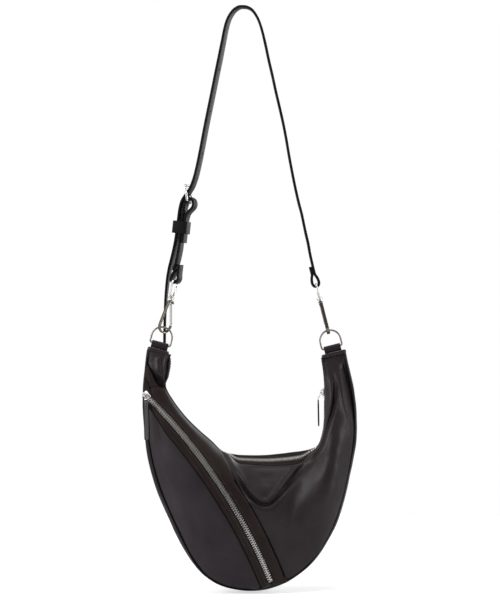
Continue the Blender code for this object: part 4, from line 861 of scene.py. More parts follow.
def build_keeper():
    """The loop that holds the tail against the buckle strap."""
    tail = turned_point((-85.9, KEEPER_PLACE))
    inner = turned_point((-78.8, KEEPER_PLACE))
    up = (turned_point(BUCKLE_LINE[-1]) - turned_point(BUCKLE_LINE[-3])).normalized()
    side = LEFT_ACROSS.cross(up).normalized()
    middle = (tail + inner) / 2
    reach = (inner - tail).length / 2
    room = KEEPER_ROOM + BAND_THICKNESS / 2
    half_deep = reach + LAYER_OFFSET + STRAP_THICKNESS / 2 + room
    half_wide = STRAP_WIDTH / 2 + room
    loop = rounded_loop(half_wide, -half_deep, half_deep, LOOP_CORNER, 8)
    centre = [middle + LEFT_ACROSS * wide + side * deep for wide, deep in loop]
    section = rounded_section(KEEPER_WIDTH, BAND_THICKNESS, BAND_CORNER)
    keeper = sweep("keeper_leather", centre, up, section, STRAP_LEATHER, closed=True)
    put(keeper, "keeper", "keeper")


# Hooks and rings

HOOK_LINE = [
    (3.3, 36.9), (3.5, 38.9), (1.8, 40.2), (-0.6, 40.2), (-2.4, 38.8), (-3.2, 35.0),
    (-4.6, 28.0), (-6.2, 19.0), (-7.6, 11.0), (-8.2, 6.6), (-7.4, 2.6), (-5.0, -0.6),
    (-1.8, -2.3), (1.8, -2.3), (5.0, -0.6), (7.6, 2.4), (8.9, 5.6), (9.3, 8.4),
]
GATE_ENDS = [(1.6, 36.2), (9.2, 9.7)]


def build_hook(name, contact, bar, across, turn, drop):
    """One swivel hook: eye, post, hook body and gate."""
    up = (bar - contact).normalized()
    base = contact - up * drop
    turned = (across.cross(up) * math.cos(turn) + across * math.sin(turn)).normalized()
    holder = Placing(base, turned, up)
    line = smooth_through([holder.point(side * MM, tall * MM) for side, tall in HOOK_LINE], 8)
    hook = sweep(
        name + "_hook_metal", line, holder.depth,
        lambda share: rounded_section(HOOK_WIDTH - HOOK_TAPER * share, HOOK_THICKNESS, 0.0009),
        SHADED_HOOK_NICKEL,
    )
    put(hook, name + "_hook", name + "_hook")

    pivot, end = (holder.point(side * MM, tall * MM) for side, tall in GATE_ENDS)
    along = (pivot - end).normalized()
    loop = rounded_loop(0.0018, -(pivot - end).length, 0.0, 0.0013, 6)
    points = [pivot + along * tall + holder.depth * wide for wide, tall in loop]
    gate = wire(name + "_gate_wire", points, GATE_WIRE, NICKEL, closed=True)
    put(gate, name + "_gate", name + "_hook_gate")

    low = HOOK_ROOF + 0.0018
    high = low + EYE_WASHER_THICKNESS
    post = lathe(name + "_post_metal", holder, [
        (0.0, HOOK_ROOF + GAP), (0.0027, HOOK_ROOF + GAP), (0.0027, low - GAP),
        (0.0013, low - GAP), (0.0013, high + GAP), (0.0024, high + GAP), (0.0024, high + 0.0012),
        (0.0015, high + 0.0017), (0.0, high + 0.0018),
    ], BRIGHT_NICKEL)
    put(post, name + "_hook", name + "_swivel_post")

    bore = 0.00165
    rim = EYE_WASHER / 2
    washer = lathe(name + "_eye_washer", holder, [
        (bore, low), (rim, low), (rim, high), (bore, high), (bore, low),
    ], BRIGHT_NICKEL)
    put(washer, "strap")
    half = EYE_SPAN / 2
    middle = (low + high) / 2
    length = (bar - contact).dot(up) + drop
    pairs = [
        (rim - 0.0010, middle), (rim - 0.0010 + 0.0018, middle + 0.0012),
        (half * 0.74, middle + 0.0056), (half, length - 0.0066),
        (half + 0.0001, length - 0.0018), (half - 0.0008, length - 0.0004),
        (half - 0.0022, length),
    ]
    right = smooth_through([base + up * tall + across * wide for wide, tall in pairs], 6)
    left = smooth_through([base + up * tall - across * wide for wide, tall in pairs], 6)
    bow = wire(name + "_eye_wire", right + left[::-1], EYE_WIRE, BRIGHT_NICKEL)
    put(bow, "strap", name + "_hook_eye")


def build_limb_end(name, contact, tilt, hem_width):
    """The ring, the leather tab round its bar and the hem under it."""
    end_line = Vector((math.cos(tilt), 0.0, -math.sin(tilt)))
    rise = Vector((math.sin(tilt), 0.0, math.cos(tilt)))
    bar = contact - rise * (RING_SIDE + RING_RADIUS)
    holder = Placing(bar, end_line, rise)
    pairs = []
    for middle, start in ((RING_CORNER - RING_RADIUS, 180.0), (RING_RADIUS - RING_CORNER, 270.0)):
        for step in range(9):
            angle = math.radians(start + 90.0 * step / 8)
            side = middle + RING_CORNER * math.cos(angle)
            pairs.append((side, RING_CORNER + RING_CORNER * math.sin(angle)))
    for step in range(49):
        angle = math.radians(180.0 * step / 48)
        pairs.append((RING_RADIUS * math.cos(angle), RING_SIDE + RING_RADIUS * math.sin(angle)))
    points = [holder.point(side, up) for side, up in pairs]
    ring = wire(name + "_ring_metal", points, RING_WIRE, NICKEL, closed=True)
    put(ring, name + "_ring", name + "_d_ring")

    reach = RING_WIRE / 2 + GAP + BAND_THICKNESS / 2
    loop = [(-reach, -TAB_RISE), (-reach * 1.02, -TAB_RISE * 0.5)]
    for step in range(17):
        angle = math.radians(180.0 - 180.0 * step / 16)
        loop.append((reach * math.cos(angle), reach * math.sin(angle)))
    loop += [(reach * 1.02, -TAB_RISE * 0.5), (reach, -TAB_RISE)]
    centre = [bar + BACK * deep + rise * tall for deep, tall in loop]
    section = rounded_section(TAB_WIDTH, BAND_THICKNESS, BAND_CORNER)
    tab = sweep(name + "_tab_leather", centre, end_line, section, BAG_LEATHER)
    put(tab, "bag", name + "_tab")
    middle = bar - rise * (TAB_RISE + GAP + HEM_HEIGHT / 2)
    build_hem(name, middle, end_line, rise, hem_width)


def build_hem(name, middle, end_line, rise, width):
    """The folded band over a limb's end: soft-edged, with its row of threads."""
    centre = [middle + rise * HEM_HEIGHT * (step / 10 - 0.5) for step in range(11)]

    def section(share):
        """The band's outline, drawn in at its top and bottom edges."""
        draw = 0.0012 * abs(2.0 * share - 1.0) ** 4
        return rounded_section(width - 2 * draw, HEM_DEPTH - 2 * draw, 0.0052, 6)

    band = sweep(name + "_hem_leather", centre, end_line, section, BAG_LEATHER)
    for vertex in band.data.vertices:
        place = vertex.co
        swell = noise.noise(place * 90.0) * 0.0004
        vertex.co = place + (place - middle).normalized() * swell
    put(band, "bag", name + "_hem")
    places = []
    for outward in (FRONT, BACK):
        low = middle + outward * (HEM_DEPTH / 2 + STITCH_LIFT) - rise * 0.0012
        line = [low + end_line * (width - 0.011) * (step / 8 - 0.5) for step in range(9)]
        places += [(point, along, outward) for point, along in evenly(line, STITCH_PITCH)]
    stitches(name + "_hem_stitches", places, STITCH_LENGTH, THREAD_WIDTH, "bag")


# Slanting zip's track

class ZipTrack:
    """The slanting zip's track: an arc on a cone through its two ends and its middle."""

    def __init__(self):
        top, through, end = millimetres((ZIP_TOP, ZIP_MIDDLE, ZIP_END))
        a = through - top
        b = end - top
        normal = a.cross(b)
        to_centre = b.cross(normal) * -a.length_squared + a.cross(normal) * b.length_squared
        self.centre = top - to_centre / (2.0 * normal.length_squared)
        self.radius = (top - self.centre).length
        axis = normal.normalized()
        self.axis = -axis if axis.x < 0.0 else axis
        self.start = (top - self.centre).normalized()
        target = (end - self.centre).normalized()
        self.swing = self.start.angle(target)
        if (self.radial(1.0) - target).length > 0.01:
            self.swing = -self.swing
        self.length = self.radius * abs(self.swing)

    def radial(self, share):
        """The direction out of the arc's centre."""
        return Matrix.Rotation(self.swing * share, 3, self.axis) @ self.start

    def place(self, share):
        """The sideways, outward and along directions at a share of the length."""
        radial = self.radial(share)
        sideways = self.axis * math.cos(ZIP_TURN) + radial * math.sin(ZIP_TURN)
        outward = radial * math.cos(ZIP_TURN) - self.axis * math.sin(ZIP_TURN)
        along = self.axis.cross(radial) * (1.0 if self.swing > 0.0 else -1.0)
        return sideways, outward, along

    def point(self, share, offset, lift):
        """A point beside and above the row of teeth."""
        sideways, outward, _ = self.place(share)
        middle = self.centre + self.radial(share) * self.radius
        return middle + sideways * offset + outward * lift

    def shares(self, low, high, pitch):
        """Shares of the length at a pitch."""
        while low < high:
            yield low
            low += pitch


TRACK = ZipTrack()


def lower_width(share):
    """How far the lower facing reaches from the teeth: it widens over its first fifth."""
    grown = min(max(share / 0.20, 0.0), 1.0)
    return -(LOWER_FACING_TOP + (LOWER_FACING - LOWER_FACING_TOP) * grown)


def upper_width(share):
    """How far the upper facing reaches from the teeth: least just below the slider."""
    top = UPPER_FACING_TOP
    middle = top + (UPPER_FACING_MIDDLE - top) * min(max((share - 0.02) / 0.10, 0.0), 1.0)
    grown = min(max((share - 0.34) / 0.24, 0.0), 1.0)
    return middle + (UPPER_FACING - UPPER_FACING_MIDDLE) * grown


def outward_at(points, row):
    """The direction out of the outline at a row, in the bag's plane."""
    tangent = points[min(row + 1, len(points) - 1)] - points[max(row - 1, 0)]
    return Vector((tangent.z, 0.0, -tangent.x)).normalized()


def side_crown(point):
    """How far the side strip stands out past its seams: most down the left side."""
    down_left = step_up(-0.530, -0.590, point.z) * step_up(-0.750, -0.690, point.z)
    return SIDE_CROWN + (SIDE_CROWN_LEFT - SIDE_CROWN) * down_left * step_up(-0.02, -0.07, point.x)


def seam_curve():
    """The side strip's seams in the bag's plane."""
    outline = smooth_through([flat_point(pair) for pair in OUTER_EDGE], 8)
    return [p - outward_at(outline, row) * side_crown(p) for row, p in enumerate(outline)]


EDGE_CURVE = seam_curve()


def side_half(point):
    """Half of the side strip's width at a place on the outline."""
    share = step_up(0.0, 1.0, (LIMB_TOP - point.z) / BAG_HEIGHT)
    return SIDE_HALF_END + (SIDE_HALF_MIDDLE - SIDE_HALF_END) * share


def edge_point(pair):
    """A point of the front's seam with the side strip."""
    wanted = flat_point(pair)
    near = min(EDGE_CURVE, key=lambda point: (point - wanted).length)
    return Vector((near.x, -(side_half(near) + SEAM_STEP), near.z))


# Bag's surfaces

def towards_front(point):
    """Out of the front."""
    return FRONT


def loft(name, edge_a, edge_b, columns, relief, material, outward=towards_front):
    """A leather panel between two edges: relief gives each point's shift from the plain one."""
    rows = []
    for row, (start, end) in enumerate(zip(edge_a, edge_b)):
        width = (end - start).length
        line = []
        for column in range(columns + 1):
            t = 0.5 - 0.5 * math.cos(math.pi * column / columns)
            point = start.lerp(end, t)
            line.append(point + relief(point, row, t, width))
        rows.append(line)
    return grid(name, rows, material, LEATHER, outward)


def line_field(pairs):
    """For a line in the front's plane: signed distance above it and share along it."""
    line = smooth_through([flat_point(pair) for pair in pairs], 3)

    def field(point):
        """The nearest place on the line."""
        best = (1.0, 0.0)
        for index, (start, end) in enumerate(zip(line, line[1:])):
            run_x = end.x - start.x
            run_z = end.z - start.z
            to_x = point.x - start.x
            to_z = point.z - start.z
            t = (to_x * run_x + to_z * run_z) / (run_x * run_x + run_z * run_z)
            t = min(max(t, 0.0), 1.0)
            away = math.hypot(to_x - run_x * t, to_z - run_z * t)
            if away < abs(best[0]):
                sign = 1.0 if run_x * to_z - run_z * to_x > 0.0 else -1.0
                best = (sign * away, (index + t) / (len(line) - 1))
        return best

    return field


ON_LIP, ON_LEFT_ARM, ON_RIGHT_ARM, ON_RIDGE, ON_SPUR = (
    line_field(line) for line in (LIP, LEFT_ARM, RIGHT_ARM, LIMB_RIDGE, LIMB_SPUR)
)
ON_LEFT_FOLD, ON_LEFT_STREAK, ON_LOWER_STREAK, ON_LOWER_DENT, ON_FLAP_SEAM = (
    line_field(line)
    for line in (LEFT_LIMB_FOLD, LEFT_LIMB_STREAK, LOWER_STREAK, LOWER_DENT, FLAP_SEAM)
)


def bump_of(distance, width):
    """A soft bump: 1 on the line, 0 far from it."""
    return math.exp(-((distance / width) ** 2))


def arch(t, power=1.0):
    """0 at both edges, 1 between them."""
    return math.sin(math.pi * t ** power)


def creases(point, size, height):
    """Soft uneven waves of the leather."""
    return (noise.noise(point * (1.0 / size)) - 0.1) * height


def seam_dive(distance, depth):
    """How far a panel's edge turns down towards its seam."""
    return depth * math.exp(-distance / 0.0014)


def middle_of(share):
    """1 along a line's middle, easing to 0 at its ends."""
    return step_up(0.0, 0.2, share) * step_up(1.0, 0.8, share)


def collapsed_hollow(point, t):
    """The front's sunken middle under the mouth, its rounded lip and the crease below it."""
    above, along = ON_LIP(point)
    held = step_up(0.0, 0.30, along) * step_up(1.0, 0.72, along)
    right_arm = step_up(0.58, 0.80, along)
    from_left = ON_LEFT_ARM(point)[0]
    from_right = ON_RIGHT_ARM(point)[0]
    bowl = -0.0096 * step_up(-0.0010, 0.0420, from_left) * step_up(-0.0010, 0.0390, from_right)
    bowl *= step_up(0.0, 0.30, t)
    bowl *= step_up(0.104, 0.078, point.x) * step_up(-0.042, -0.016, point.x)
    lip = (0.0028 + 0.0014 * right_arm) * held * bump_of(above - 0.0010, 0.0030)
    crease_width = 0.0022 + 0.0016 * right_arm
    crease = -0.0046 * held * bump_of(above + 0.0042 + 0.0008 * right_arm, crease_width)
    rim = 0.0010 * held * bump_of(above + 0.0125, 0.0060)
    return bowl + lip + crease + rim


def right_limb_folds(point):
    """The crest down the right limb, the crease and the roll left of it, the facet right of it."""
    if point.x < 0.070:
        return 0.0
    off, share = ON_RIDGE(point)
    held = step_up(0.0, 0.40, share) * step_up(1.0, 0.70, share)
    folds = 0.0046 * held * step_up(-0.0026, 0.0006, off) * math.exp(-max(off, 0.0) / 0.010)
    folds -= 0.0042 * held * bump_of(off + 0.0038, 0.0021)
    folds += 0.0018 * held * bump_of(off + 0.0105, 0.0046)
    off, share = ON_SPUR(point)
    folds += 0.0010 * middle_of(share) * bump_of(off, 0.0018)
    turned = step_up(0.0, 0.15, share) * step_up(1.0, 0.60, share)
    return folds - 0.0040 * turned * step_up(0.0004, 0.0085, off)


def left_limb_folds(point):
    """The crumpled roll at the left limb's inner side and the soft rise beside it."""
    if point.x > -0.088 or point.z < -0.515:
        return 0.0
    off, share = ON_LEFT_FOLD(point)
    folds = -0.0034 * middle_of(share) * bump_of(off, 0.0014)
    folds += 0.0016 * middle_of(share) * bump_of(off + 0.0032, 0.0022)
    folds += 0.0009 * middle_of(share) * bump_of(off - 0.0026, 0.0018)
    off, share = ON_LEFT_STREAK(point)
    return folds + 0.0014 * middle_of(share) * bump_of(off, 0.0034)


def front_relief(heights, covered):
    """The upper front panel: swell, sunken middle, the limbs' folds and soft waves."""

    def relief(point, row, t, width):
        """The shift at one point; covered is 1 where the panel lies under the facing."""
        edge = min(t, 1.0 - t)
        shift = heights[row] * MM * arch(t, 0.9) * (1.0 - covered[row])
        shift -= 0.0030 * covered[row] * step_up(0.0, 0.15, edge)
        shift += collapsed_hollow(point, t)
        shift += right_limb_folds(point) + left_limb_folds(point)
        off, share = ON_LOWER_DENT(point)
        shift -= 0.0016 * middle_of(share) * bump_of(off, 0.0060)
        calm = max(step_up(0.085, 0.060, point.x), step_up(-0.590, -0.625, point.z))
        held = step_up(0.0, 0.12, edge) * (1.0 - covered[row]) * (1.0 - 0.65 * calm)
        shift += (creases(point, 0.055, 0.0034) + creases(point, 0.016, 0.0009)) * held
        return FRONT * (shift - seam_dive(edge * width, 0.0022))

    return relief


def plain_relief(direction, crown, wave, dive_depth=0.0020):
    """A panel with a crown across it and soft waves; direction and crown go by row."""

    def relief(point, row, t, width):
        """The shift at one point."""
        edge = min(t, 1.0 - t)
        waves = (creases(point, 0.050, wave) + creases(point, 0.017, wave * 0.3))
        waves *= step_up(0.0, 0.15, edge)
        return direction(row) * (crown(row, t) + waves - seam_dive(edge * width, dive_depth))

    return relief


def station_curves():
    """The front's inner and outer edges, the mouth's two edges and the back's inner edge."""
    lines = inner, outer, mouth_front, mouth_back, back_inner = [], [], [], [], []
    for index, (pair, kind, target) in enumerate(FRONT_STATIONS):
        share = math.sin(math.pi * index / (len(FRONT_STATIONS) - 1))
        half = MOUTH_HALF_END + (MOUTH_HALF_MIDDLE - MOUTH_HALF_END) * share
        point = flat_point(pair)
        rim = flat_point(BACK_RIM[index])
        inner.append(point + FRONT * (half + SEAM_STEP))
        mouth_front.append(point + FRONT * half)
        mouth_back.append(rim + BACK * half)
        back_inner.append(rim + BACK * (half + SEAM_STEP))
        if kind == "edge":
            outer.append(edge_point(target))
        elif kind == "flap":
            outer.append(Vector(FLAP_FAR[target]) * MM + Vector((-0.0006, 0.0014, 0.0)))
        else:
            seam = TRACK.point(target, upper_width(target) - 0.0016, -0.0022)
            tucked = inner[-1].lerp(seam, 0.15) + BACK * 0.0040
            outer.append(seam.lerp(tucked, step_up(0.56, 0.44, target)))
    curves = [smooth_through(line, STEPS) for line in lines]
    for line in (curves[0], curves[2]):
        for point in line:
            if point.z < RIM_TOP:
                for place, width, rise in RIM_RISES:
                    point.z += rise * bump_of(point.x - place, width)
    return curves


INNER, OUTER, MOUTH_FRONT, MOUTH_BACK, BACK_INNER = station_curves()


def build_front():
    """The two front panels."""
    heights = smooth_numbers(FRONT_SWELL, STEPS)
    covered = smooth_numbers([
        step_up(0.56, 0.44, target) if kind == "seam" else 0.0
        for pair, kind, target in FRONT_STATIONS
    ], STEPS)
    panel = loft(
        "front_panel_leather", INNER, OUTER, 116, front_relief(heights, covered), UPPER_LEATHER,
    )
    put(panel, "bag", "front_panel_upper")
    seam = [TRACK.point(share, lower_width(share) + 0.0016, -0.0016) for share, _ in LOWER_STATIONS]
    edge = [edge_point(pair) for _, pair in LOWER_STATIONS]
    swells = smooth_numbers(LOWER_SWELL, STEPS)
    plain = plain_relief(lambda row: FRONT, lambda row, t: swells[row] * MM * arch(t), 0.0016)

    def relief(point, row, t, width):
        """The plain swell and the soft rise along the panel's middle."""
        off, share = ON_LOWER_STREAK(point)
        rise = 0.0014 * middle_of(share) * bump_of(off, 0.0090)
        return plain(point, row, t, width) + FRONT * rise

    lower = loft(
        "lower_front_leather", smooth_through(seam, STEPS), smooth_through(edge, STEPS), 40,
        relief, BAG_LEATHER,
    )
    put(lower, "bag", "front_panel_lower")


def build_back():
    """The back panel and the strip that joins front and back round the outer edge."""
    outer = [
        Vector((point.x, side_half(point) + SEAM_STEP, point.z))
        for point in resampled(EDGE_CURVE, len(BACK_INNER))
    ]
    heights = smooth_numbers(BACK_SWELL, STEPS)
    relief = plain_relief(
        lambda row: BACK, lambda row, t: heights[row] * MM * arch(t, 1.15), 0.0034,
    )
    panel = loft(
        "back_panel_leather", BACK_INNER, outer, 56, relief, BAG_LEATHER, lambda point: BACK,
    )
    put(panel, "bag", "back_panel")

    curve = resampled(EDGE_CURVE, 320)
    outs = [outward_at(curve, row) for row in range(len(curve))]
    front = [Vector((p.x, -(side_half(p) + 0.0004), p.z)) for p in curve]
    back = [Vector((p.x, side_half(p) + 0.0004, p.z)) for p in curve]
    relief = plain_relief(
        lambda row: outs[row], lambda row, t: side_crown(curve[row]) * arch(t) ** 0.8,
        0.0010, 0.0004,
    )
    strip = loft(
        "side_strip_leather", front, back, 24, relief, SHADED_SIDE_LEATHER,
        lambda point: Vector((point.x, 0.0, point.z + 0.56)),
    )
    put(strip, "bag", "side_strip")


def facing_relief(outs, crown, inner_side):
    """A facing strip: a slight crown, its edge by the teeth folded under."""

    def relief(point, row, t, width):
        """The shift at one point."""
        to_teeth = (1.0 - t if inner_side else t) * width
        to_seam = (t if inner_side else 1.0 - t) * width
        rise = crown * arch(t) + creases(point, 0.030, 0.0007) * arch(t)
        fold = -0.0010 * bump_of(to_teeth, 0.0007)
        groove = -0.0009 * bump_of(to_teeth - STITCH_INSET, 0.0007)
        edge = -0.0018 * bump_of(to_seam, 0.0010)
        return outs(row) * (rise + fold + groove + edge)

    return relief


def zip_gap(share):
    """Half of the slit between the facings: it closes under the zip's bottom stop."""
    return FACING_EDGE - (FACING_EDGE - 0.0002) * step_up(0.984, 0.999, share)


def inner_fold():
    """For a share of the zip: the facing's far edge where it turns over the bag's inner edge."""
    rows = [index for index, station in enumerate(FRONT_STATIONS) if station[1] == "seam"]
    line = INNER[rows[0] * STEPS:rows[-1] * STEPS + 1]
    spread = smooth_numbers([FRONT_STATIONS[index][2] for index in rows], STEPS)

    def far(share):
        """The far edge at one share."""
        seam = TRACK.point(share, upper_width(share), 0.0)
        cover = step_up(0.56, 0.46, share)
        if cover <= 0.0:
            return seam
        near = min(range(len(spread)), key=lambda index: abs(spread[index] - share))
        after = min(near + 1, len(spread) - 1)
        part = (share - spread[near]) / max(spread[after] - spread[near], 0.0001)
        fold = line[near].lerp(line[after], min(max(part, 0.0), 1.0))
        return seam.lerp(fold + Vector((0.0003, -0.0012, 0.0004)), cover)

    return far


def ended(line, pair):
    """A line carried on to a place on the front's seam."""
    return line + [line[-1].lerp(edge_point(pair), part) for part in (0.5, 1.0)]


def build_facings():
    """The two leather facings of the slanting zip."""
    last = 159
    shares = [index / last for index in range(last + 1)]
    lower = loft(
        "lower_facing_leather",
        ended([TRACK.point(share, lower_width(share), 0.0) for share in shares], (15.0, -770.0)),
        ended([TRACK.point(share, -zip_gap(share), 0.0) for share in shares], (38.2, -768.6)), 22,
        facing_relief(lambda row: TRACK.place(shares[min(row, last)])[1], 0.0006, True),
        FACING_LEATHER,
    )
    put(lower, "bag", "lower_facing")

    upper_shares = [-0.02 + 1.02 * index / last for index in range(last + 1)]
    far_shares = [share + UPPER_FACING_LEAD * (1.0 - share) for share in upper_shares]
    far_of = inner_fold()
    near = millimetres(FLAP_NEAR) + [TRACK.point(upper_shares[0], FACING_EDGE, 0.0)]
    far = millimetres(FLAP_FAR + [FLAP_CORNER]) + [far_of(far_shares[3])]
    near_end = resampled(smooth_through(near, 10), 36)[:-1]
    far_end = resampled(smooth_through(far, 10), 36)[:-1]
    flap_rows = len(near_end)
    near_end += [TRACK.point(share, zip_gap(share), 0.0) for share in upper_shares]
    far_end += [far_of(max(share, far_shares[3])) for share in far_shares]
    near_end = ended(near_end, (38.4, -768.6))
    far_end = ended(far_end, (61.0, -759.6))
    rows = len(near_end)

    def share_at(row):
        """The zip's share beside a row."""
        return upper_shares[min(max(row - flap_rows, 0), last)]

    def outs(row):
        """The direction out of the facing at a row."""
        return TRACK.place(share_at(row))[1]

    plain = facing_relief(outs, 0.0008, False)

    def rolled(point, row, t, width):
        """The facing's relief, fuller where it turns over the inner edge."""
        full = 0.0040 * step_up(0.60, 0.42, share_at(row))
        full *= step_up(0, 12, row) * step_up(rows, rows - 12, row)
        if row < flap_rows + 16:
            off, along = ON_FLAP_SEAM(point)
            full -= 0.0016 * bump_of(off, 0.0009) * step_up(1.0, 0.8, along)
        return plain(point, row, t, width) + outs(row) * full * arch(t, 1.5)

    upper = loft("upper_facing_leather", near_end, far_end, 30, rolled, FACING_LEATHER)
    put(upper, "bag", "upper_facing")
    build_flap_lines(upper)


def cloth_sheet(name, rows, material, outward=towards_front):
    """A thin sheet of cloth on the bag."""
    put(grid(name + "_cloth", rows, material, CLOTH, outward), "bag", name)


def build_front_tapes():
    """The slanting zip's tapes under the facings, and the facings' threads."""
    for name, low, high in (
        ("front_tape_lower", lambda s: max(lower_width(s) + 0.0010, -TAPE_HALF), lambda s: -GAP),
        ("front_tape_upper", lambda s: GAP, lambda s: TAPE_HALF - 0.0072 * step_up(0.66, 0.54, s)),
    ):
        rows = []
        for index in range(90):
            share = 0.998 * index / 89
            start = TRACK.point(share, low(share), -TAPE_DEPTH)
            end = TRACK.point(share, high(share), -TAPE_DEPTH)
            rows.append([start.lerp(end, column / 4) for column in range(5)])
        cloth_sheet(name, rows, TAPE)

    places = []
    pitch = STITCH_PITCH / TRACK.length

    def lay(share, offset, lift):
        """One thread."""
        sideways, outward, along = TRACK.place(share)
        places.append((TRACK.point(share, offset, lift), along, outward))

    inset = FACING_EDGE + STITCH_INSET
    for share in TRACK.shares(0.01, 0.99, pitch):
        if lower_width(share) < -inset - 0.002:
            lay(share, -inset, 0.0002)
    for share in TRACK.shares(-0.01, 0.99, pitch):
        lay(share, inset, 0.0002)
    for share in TRACK.shares(0.22, 0.99, pitch):
        lay(share, lower_width(share) + 0.0022, 0.0001)
        if share > 0.66:
            lay(share, upper_width(share) - 0.0022, 0.0001)
    stitches("front_zip_stitches", places, STITCH_LENGTH, FINE_THREAD, "bag")


def seam_shade_wire(name, points, diameter):
    """A dark wire along a seam, shaped like a turned edge: painted shade of the seam's gap."""
    put(wire(name, points, diameter, EDGE_PAINT_AND_SHADE, resolution=3), "bag")


def build_seams():
    """Dark wires along the facings' seams and the side strip's seams: painted shade of the gaps
    there.
    """
    shares = [0.05 + 0.95 * index / 120 for index in range(121)]
    points = [TRACK.point(share, lower_width(share) - 0.0004, -0.0006) for share in shares]
    seam_shade_wire("lower_facing_seam", points, 0.0010)
    shares = [0.53 + 0.47 * index / 80 for index in range(81)]
    points = [TRACK.point(share, upper_width(share) + 0.0004, -0.0006) for share in shares]
    seam_shade_wire("upper_facing_seam", points, 0.0011)
    curve = resampled(EDGE_CURVE, 320)[4:-4]
    lowest = min(range(len(curve)), key=lambda row: curve[row].z)
    halves = (curve[:lowest + 1], curve[lowest:])
    left, right = sorted(halves, key=lambda run: min(point.x for point in run))
    for label, side, run, diameter in (
        ("front_left", -1.0, left, 0.0016), ("front_right", -1.0, right, 0.0006),
        ("back", 1.0, curve, 0.0010),
    ):
        points = [Vector((p.x, side * (side_half(p) + 0.0006), p.z)) for p in run]
        seam_shade_wire("side_seam_" + label, points, diameter)


def build_flap_lines(facing):
    """Dark wires along the edge of the facing's flap over the left limb and along the seam round
    the slider: painted shade.
    """
    places = [vertex.co.copy() for vertex in facing.data.vertices]
    for name, line, lift, diameter in (
        ("flap_edge", millimetres(FLAP_FAR + [FLAP_CORNER]), 0.0001, 0.0009),
        ("flap_seam", [flat_point(pair) for pair in FLAP_SEAM], -0.0003, 0.0010),
    ):
        points = []
        for p in resampled(smooth_through(line, 8), 24):
            near = sorted(places, key=lambda place: math.hypot(place.x - p.x, place.z - p.z))[:6]
            points.append(Vector((p.x, min(place.y for place in near) - lift, p.z)))
        seam_shade_wire(name, points, diameter)


# Zips

TOOTH_OUTLINE = [
    (-0.00052, 0.0034), (0.00052, 0.0034), (0.00050, 0.0012), (0.00060, 0.0),
    (0.00038, -0.0008), (-0.00038, -0.0008), (-0.00060, 0.0), (-0.00050, 0.0012),
]
TOOTH_LEVELS = [(-0.5, 1.0), (0.10, 1.0), (0.5, 0.50)]
SLIDER_OUTLINE = [
    (-0.0057, 0.0024), (-0.0050, 0.0034), (-0.0020, 0.0036), (0.0010, 0.0037), (0.0034, 0.0042),
    (0.0050, 0.0042), (0.0057, 0.0034), (0.0057, 0.0012), (0.0048, 0.0),
]


def teeth(name, places, node):
    """Metal teeth; each place is a middle, along, outward side and up direction."""
    groups = []
    for middle, along, side, up in places:
        rings = []
        for level, shrink in TOOTH_LEVELS:
            widen = 0.4 + 0.6 * shrink
            rings.append([
                middle + (along * reach * shrink + side * (0.001 + (wide - 0.001) * widen))
                + up * TOOTH_HEIGHT * level
                for reach, wide in TOOTH_OUTLINE
            ])
        groups.append(rings)
    item = solid(name, groups, TEETH)
    item.data.set_sharp_from_angle(angle=math.radians(38.0))
    put(item, "bag", node)


def block(name, centre, axes, size, material, rounding):
    """A block with rounded edges, its sides along three directions."""
    half = [value / 2 for value in size]
    rings = [
        [
            centre + axes[0] * half[0] * along + axes[1] * half[1] * wide + axes[2] * half[2] * tall
            for wide, tall in ((-1, -1), (-1, 1), (1, 1), (1, -1))
        ]
        for along in (-1, 1)
    ]
    item = solid(name, [rings], material)
    add_bevel(item, rounding, 3)
    return item


def build_front_teeth():
    """The slanting zip's closed row of teeth and its bottom stop."""
    places = []
    for index, share in enumerate(TRACK.shares(-0.008, 0.981, TOOTH_PITCH / TRACK.length / 2)):
        sideways, outward, along = TRACK.place(share)
        side = sideways if index % 2 else sideways * -1.0
        places.append((TRACK.point(share, 0.0, 0.0002), along, side, outward))
    teeth("front_teeth_metal", places, "front_zip_teeth")
    sideways, outward, along = TRACK.place(0.9875)
    stop = block(
        "front_stop_metal", TRACK.point(0.9875, 0.0, -0.0003), (along, sideways, outward),
        (0.0030, 0.0062, 0.0020), NICKEL, 0.0006,
    )
    put(stop, "bag", "front_zip_stop")


